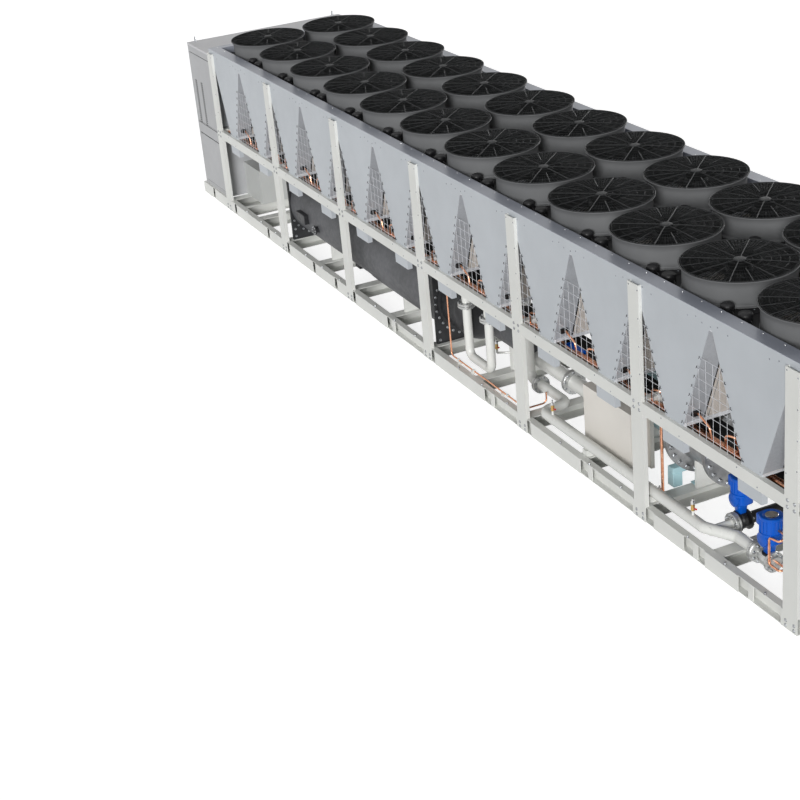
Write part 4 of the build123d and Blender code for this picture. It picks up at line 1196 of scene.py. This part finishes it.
def valveBodies():
    # turned castings of (distance, radius) pairs in the main and in the branch, with the branch's outlet
    v, p = valveValues, liquidValues
    z = p["height"]
    length, radius = np.array(v["profile"]).T
    start = at(p["end"] + 2 * flangeHalf, p["offsetInset"], z)
    main = alongX(np.stack([start[0] + length, radius], -1), start[1], z, 36)
    x, y = station(p["branch"]), inset(p["branchInset"]) + flangeHalf
    profile = np.stack([radius, length / v["length"] * v["sideLength"]], -1)
    side = placed(lathe(profile, 36), (x, y, z), (0, 1, 0))
    outlet = tube([(x, y + v["sideLength"] - 0.005, z), (x, inset(v["outlet"]), z)], p["radius"], 28)
    bolt, ring = hexBolt(0.011, 0.014), v["boltRing"]
    bolts = [boltRing(np.add(start, (along, 0, 0)), (turn, 0, 0), ring, 8, bolt, boltPhase)
             for along, turn in v["bolts"]]
    bolts.append(boltRing((x, y + v["sideLength"] * 0.895, z), (0, 1, 0), ring, 8, bolt, boltPhase))
    return [main], [side, outlet], bolts


castings, outlet, valveBolts = valveBodies()
piece("valveBolts", valveBolts, boltSteel, "flange_metal")
piece("valveBodies", castings, flangeMetal, "flange_metal", "valve_bodies")
piece("valveOutlet", outlet, castBlack, "cast_black")

actuatorValues = {"ribs": 18, "radius": 0.106, "drumLow": 0.542, "drumHigh": 0.710, "neckLow": 0.330,
                  "shift": 0.050, "neckBack": 0.028}


def roundedBlock(x1, x2, y1, y2, z1, z2, pull=0.0, bulge=4.0):
    # superellipse column: x = a cos^k t, y = b sin^k t with k = 2 / bulge, narrowed by pull at the foot
    t = np.linspace(0, 2 * np.pi, 25)[:-1]
    c, s = np.cos(t), np.sin(t)
    x = np.sign(c) * np.abs(c) ** (2 / bulge)
    y = np.sign(s) * np.abs(s) ** (2 / bulge)
    edge = 0.006
    levels = np.array([z1, z1 + edge, z2 - edge, z2])
    share = np.array([1 - pull - 0.06, 1 - pull, 1.0, 0.94])
    mx, my = (x1 + x2) / 2, (y1 + y2) / 2
    points = np.stack([mx + (x2 - x1) / 2 * x[:, None] * share, my + (y2 - y1) / 2 * y[:, None] * share,
                       levels + 0 * x[:, None]], -1)
    return gridShell(points, closeU=True, caps=True)


def actuatorShell():
    # drum with ribs and a rolled lid on a gear case that narrows to its neck, one side box
    v = actuatorValues
    low, high, r = v["drumLow"], v["drumHigh"], v["radius"]
    drum = [(r * 0.9, low - 0.012), (r, low - 0.004), (r, low + 0.016), (r - 0.008, low + 0.02),
            (r - 0.008, high - 0.03), (r - 0.002, high - 0.026), (r, high - 0.010), (r - 0.006, high - 0.002),
            (r - 0.02, high), (0.075, high), (0.070, high - 0.006), (0.058, high - 0.006)]
    rib = blockShell((r - 0.012, -0.003, low + 0.022), (r - 0.002, 0.003, high - 0.032), 0.001)
    ribs = inARing(rib, v["ribs"])
    case = roundedBlock(-0.105, 0.085, -0.075, 0.075, low - 0.09, low - 0.006)
    wheel = lathe([(0.062, 0), (0.066, 0.004), (0.066, 0.022), (0.05, 0.03)], 28)
    wheel = placed(wheel, (-0.01, -0.072, low - 0.05), (0, -1, 0))
    neck = roundedBlock(-0.085, 0.03, -0.055, 0.055, v["neckLow"], low - 0.085, pull=0.28)
    box = roundedBlock(-0.154, -r + 0.02, -0.050, 0.050, low + 0.03, high - 0.04, bulge=6.0)
    lugSpots = [(x, y, low - 0.006) for x in (-0.08, 0.06) for y in (-0.062, 0.062)]
    return joined([lathe(drum, 48), ribs, case, wheel, neck, box]), copies(hexBolt(0.007, 0.008), lugSpots)


def actuators():
    # one on each valve body: blue case, dark ring at its neck, plated disc and lugs
    v, p = actuatorValues, liquidValues
    high, neck = v["drumHigh"], v["neckLow"]
    disc = lathe([(0.058, high - 0.008), (0.058, high), (0.054, high + 0.003), (0.030, high + 0.001),
                  (0.010, high + 0.0015)], 36)
    ring = lathe([(0.058, neck - 0.012), (0.064, neck - 0.008), (0.064, neck + 0.004),
                  (0.056, neck + 0.008)], 32)
    spots = np.array([at(p["end"] + 0.172 + v["shift"], p["offsetInset"], 0),
                      at(p["branch"], p["branchInset"] + 0.096, 0)])
    blue, lugs = actuatorShell()
    necks = copies(ring, spots - (v["neckBack"], 0, 0))
    return copies(blue, spots), necks, copies(disc, spots), copies(lugs, spots)


blue, necks, discs, lugs = actuators()
piece("actuatorDrums", [blue], blueCoat, "actuator_blue", "valve_actuators")
piece("actuatorNecks", [necks], castBlack, "cast_black")
piece("actuatorDiscs", [discs, lugs], chrome, "cast_grey")

drainValues = {"radius": 0.009, "inset": 0.045, "span": (7.200, 8.900), "height": 0.200, "turn": 0.250,
               "rise": 0.320, "bend": 0.05, "collars": (7.375, 7.737, 8.513),
               "riser": ((11.255, 0.185, 0.152), (11.255, 0.185, 1.103)), "riserRadius": 0.0144,
               "loop": ((12.86, 0.24, 0.285), (13.03, 0.24, 0.285), (13.03, 0.17, 0.285),
                        (12.885, 0.17, 0.285), (12.885, 0.17, 0.540), (13.03, 0.17, 0.565),
                        (13.03, 0.24, 0.600), (12.92, 0.24, 0.600)), "loopRadius": 0.011,
               "stub": ((7.72, 0.55, 0.40), (7.72, 0.55, 0.282), (7.62, 0.40, 0.282)), "stubRadius": 0.012}


def copperLines():
    # drain along the base, a riser, and a loop at the right end
    v = drainValues
    a, b = v["span"]
    z, deep = v["height"], v["inset"] + v["turn"]
    drain = bentPath([at(a, v["inset"], midTop), at(a, v["inset"], z), at(b, v["inset"], z), at(b, deep, z),
                      at(b, deep, v["rise"])], v["bend"], 8)
    loop = bentPath([at(*spot) for spot in v["loop"]], 0.025, 6)
    riser = [at(*spot) for spot in v["riser"]]
    return [tube(drain, v["radius"], 12), tube(riser, v["riserRadius"], 14), tube(loop, v["loopRadius"], 12)]


def drainCollars():
    v = drainValues
    collar = lathe([(0.0095, -0.016), (0.017, -0.015), (0.017, 0.015), (0.0095, 0.016)], 16, closed=True)
    return [placed(collar, at(s, v["inset"], v["height"]), (1, 0, 0)) for s in v["collars"]]


piece("drainCollars", drainCollars(), coats["pipe"], "copper")
piece("copperLines", copperLines(), copper, "copper", "copper_lines")


def serviceValve(place):
    # white stub, brass body with a steel cap above it and a red handle to one side
    profiles = ([(0.013, 0), (0.013, 0.045)],
                [(0.012, 0.04), (0.019, 0.045), (0.019, 0.095), (0.015, 0.10), (0.015, 0.105)],
                [(0.015, 0.104), (0.020, 0.108), (0.020, 0.130), (0.010, 0.142), (0.010, 0.158),
                 (0.006, 0.162)])
    handle = tube([(0.015, 0, 0.07), (0.03, 0, 0.07), (0.055, 0, 0.078)], (0.007, 0.009, 0.009), 10)
    return [placed(shell, place) for shell in [lathe(profile, 16) for profile in profiles] + [handle]]


drainStub = tube(bentPath([at(*spot) for spot in drainValues["stub"]], 0.03), drainValues["stubRadius"], 12)
piece("drainStub", [drainStub], coats["pipe"], "pipe_paint")
serviceSpots = ((11.884, 0.09, 0.318), (7.62, 0.40, 0.285), (11.255, 0.150, 0.150), (9.40, 0.09, 0.318))
valveLooks = (("serviceStubs", coats["pipe"], "pipe_paint"), ("serviceBrass", brass, "copper"),
              ("serviceCaps", chrome, "flange_metal"), ("serviceHandles", redCoat, "flange_metal"))
serviceParts = zip(*[serviceValve(at(*spot)) for spot in serviceSpots])
for (name, material, slot), shells in zip(valveLooks, serviceParts):
    piece(name, shells, material, slot)

# Compressor


def compressorMotor():
    # banded drum with a dished end, on a plate with two legs, a web and a foot
    v = driveValues
    y, z = inset(v["inset"]), (casingLow.z + casingHigh.z) / 2
    r = motorHigh.z - z
    x1, x2 = motorLow.x, motorHigh.x
    t = np.linspace(0.1, np.pi / 2, 7)
    end = np.stack([x1 + 0.09 * (1 - np.cos(t)), (r - 0.01) * np.sin(t)], -1)
    bands = [(x1 + 0.14, r - 0.01), (x1 + 0.145, r), (x1 + 0.17, r), (x1 + 0.175, r - 0.012),
             (x2 - 0.06, r - 0.012), (x2 - 0.055, r), (x2, r)]
    far, near, half, seat = x2 - 0.080, x2 - 0.080 - v["thick"], v["half"], z / 2
    plate = blockShell((near, y - half, seat - 0.06), (far, y + half, seat), 0.006)
    legs = [blockShell((near, start, v["floor"]), (far, start + v["leg"], seat - 0.058), 0.004)
            for start in (y - half, y + half - v["leg"])]
    web = blockShell((near + 0.01, y - v["web"], seat - 0.01), (far - 0.01, y + v["web"], z - 0.1), 0.004)
    foot = blockShell((far - 0.01, y - v["foot"], v["floor"]),
                      (far + 0.1, y + v["foot"], v["floor"] + v["footThick"]), 0.004)
    lift = blockShell((x1 + 0.5, y - 0.03, z + r - 0.02), (x1 + 0.56, y + 0.03, z + r - 0.001), 0.004)
    return [alongX(np.vstack([end, bands]), y, z), plate, web, foot, lift] + legs


def compressorCasing():
    # turned body of (distance, radius) pairs with two bolted rims
    y, z = (casingLow.y + casingHigh.y) / 2, (casingLow.z + casingHigh.z) / 2
    r = (casingHigh.z - casingLow.z) / 2
    x1, length = casingLow.x, casingHigh.x - casingLow.x
    body = [(0, r - 0.004), (0.003, r), (0.028, r), (0.030, r - 0.012), (0.034, r - 0.012), (0.036, r),
            (0.057, r), (0.060, r - 0.006), (0.062, r * 0.84), (0.09, r * 0.74), (0.20, r * 0.72),
            (0.40, r * 0.72), (0.515, r * 0.70), (0.52, r * 0.855), (0.523, r * 0.86), (0.545, r * 0.86),
            (0.547, r * 0.835), (0.551, r * 0.835), (0.553, r * 0.86), (0.577, r * 0.86), (0.58, r * 0.84),
            (0.585, r * 0.5), (0.62, r * 0.33), (length - 0.03, r * 0.325), (length - 0.025, r * 0.3)]
    bolt, rim, cover = hexBolt(0.020, 0.026), r - 0.035, r * 0.78
    rings = ((0.06, 1, rim, 26), (0, -1, rim, 26), (0.58, 1, cover, 22), (0.52, -1, cover, 22))
    bolts = [boltRing((x1 + along, y, z), (turn, 0, 0), radius, count, bolt)
             for along, turn, radius, count in rings]
    return alongX([(x1 + along, radius) for along, radius in body], y, z), bolts


piece("compressorMotor", compressorMotor(), coats["motor"], "motor_paint", "compressor_motor")
casing, casingBolts = compressorCasing()
piece("compressorCasing", [casing], castGrey, "cast_grey", "compressor_casing")
piece("casingBolts", casingBolts, boltSteel, "cast_grey")
print("pipework and compressor built")

# Camera, floor and light

cameraData = bpy.data.cameras.new("camera")
camera = bpy.data.objects.new("camera", cameraData)
bpy.context.scene.collection.objects.link(camera)
camera.location = (16.669, -8.421, 7.732)
camera.rotation_euler = (math.radians(64.954), math.radians(5.099), math.radians(64.908))
cameraData.sensor_width = 36
cameraData.lens = 75.683
cameraData.clip_end = 200
bpy.context.scene.camera = camera

lightValues = {"floorHalf": 60.0, "world": 0.22, "floor": 0.5, "floorLift": 0.78}
lamps = (("keyLamp", 2.95, 24, (0.735, -0.617, 0.265)), ("backLamp", 1.5, 40, (-0.52, 0.84, 0.11)))
directRays = ("Is Camera Ray", "Is Glossy Ray", "Is Transmission Ray")


def floorPlane():
    # diffuse floor that keeps the shadow; camera, mirror and clear rays see it lifted to white
    v = lightValues
    t = np.linspace(-v["floorHalf"], v["floorHalf"], 9)
    flat, groups = gridShell(np.stack(np.broadcast_arrays(t[:, None], t[None], 0.0), -1))
    mesh = bpy.data.meshes.new("floor")
    mesh.from_pydata(flat.tolist(), [], groups[0].tolist())
    floor = bpy.data.objects.new("floor", mesh)
    bpy.context.scene.collection.objects.link(floor)
    look = Look("floorWhite", Roughness=0.9, Emission_Strength=1.0)
    drift = look.spread(look.noise(0.4), 0.0, 1.0)
    look.set("Base Color", look.mix(drift, shade((1, 1, 1), v["floor"]), shade((1, 1, 1), v["floor"] + 0.01)))
    direct, glossy, clear = [look.node("ShaderNodeLightPath", output=name) for name in directRays]
    seen = (direct + glossy + clear).maths("MINIMUM", 1.0)
    look.set("Emission Color", look.mix(seen, (0.0, 0.0, 0.0), shade((1, 1, 1), v["floorLift"])))
    mesh.materials.append(look.material)


def softLight():
    # dim white surround for the light, full white where a ray sees it, and two wide suns
    world = bpy.data.worlds.new("studio")
    bpy.context.scene.world = world
    world.use_nodes = True
    tree = world.node_tree
    ground, white = tree.nodes["Background"], tree.nodes.new("ShaderNodeBackground")
    for shader, strength in ((ground, lightValues["world"]), (white, 1.0)):
        shader.inputs["Color"].default_value = (1.0, 1.0, 1.0, 1.0)
        shader.inputs["Strength"].default_value = strength
    path = tree.nodes.new("ShaderNodeLightPath")
    mix = tree.nodes.new("ShaderNodeMixShader")
    factor = path.outputs[directRays[0]]
    for name in directRays[1:]:
        total = tree.nodes.new("ShaderNodeMath")
        total.use_clamp = True
        tree.links.new(factor, total.inputs[0])
        tree.links.new(path.outputs[name], total.inputs[1])
        factor = total.outputs[0]
    tree.links.new(factor, mix.inputs["Fac"])
    tree.links.new(ground.outputs["Background"], mix.inputs[1])
    tree.links.new(white.outputs["Background"], mix.inputs[2])
    tree.links.new(mix.outputs["Shader"], tree.nodes["World Output"].inputs["Surface"])
    for name, energy, spread, towards in lamps:
        sun = bpy.data.lights.new(name, "SUN")
        sun.energy = energy
        sun.angle = math.radians(spread)
        lamp = bpy.data.objects.new(name, sun)
        lamp.rotation_euler = Vector(towards).to_track_quat("Z", "Y").to_euler()
        bpy.context.scene.collection.objects.link(lamp)


floorPlane()
softLight()
bpy.context.scene.view_settings.view_transform = "Standard"
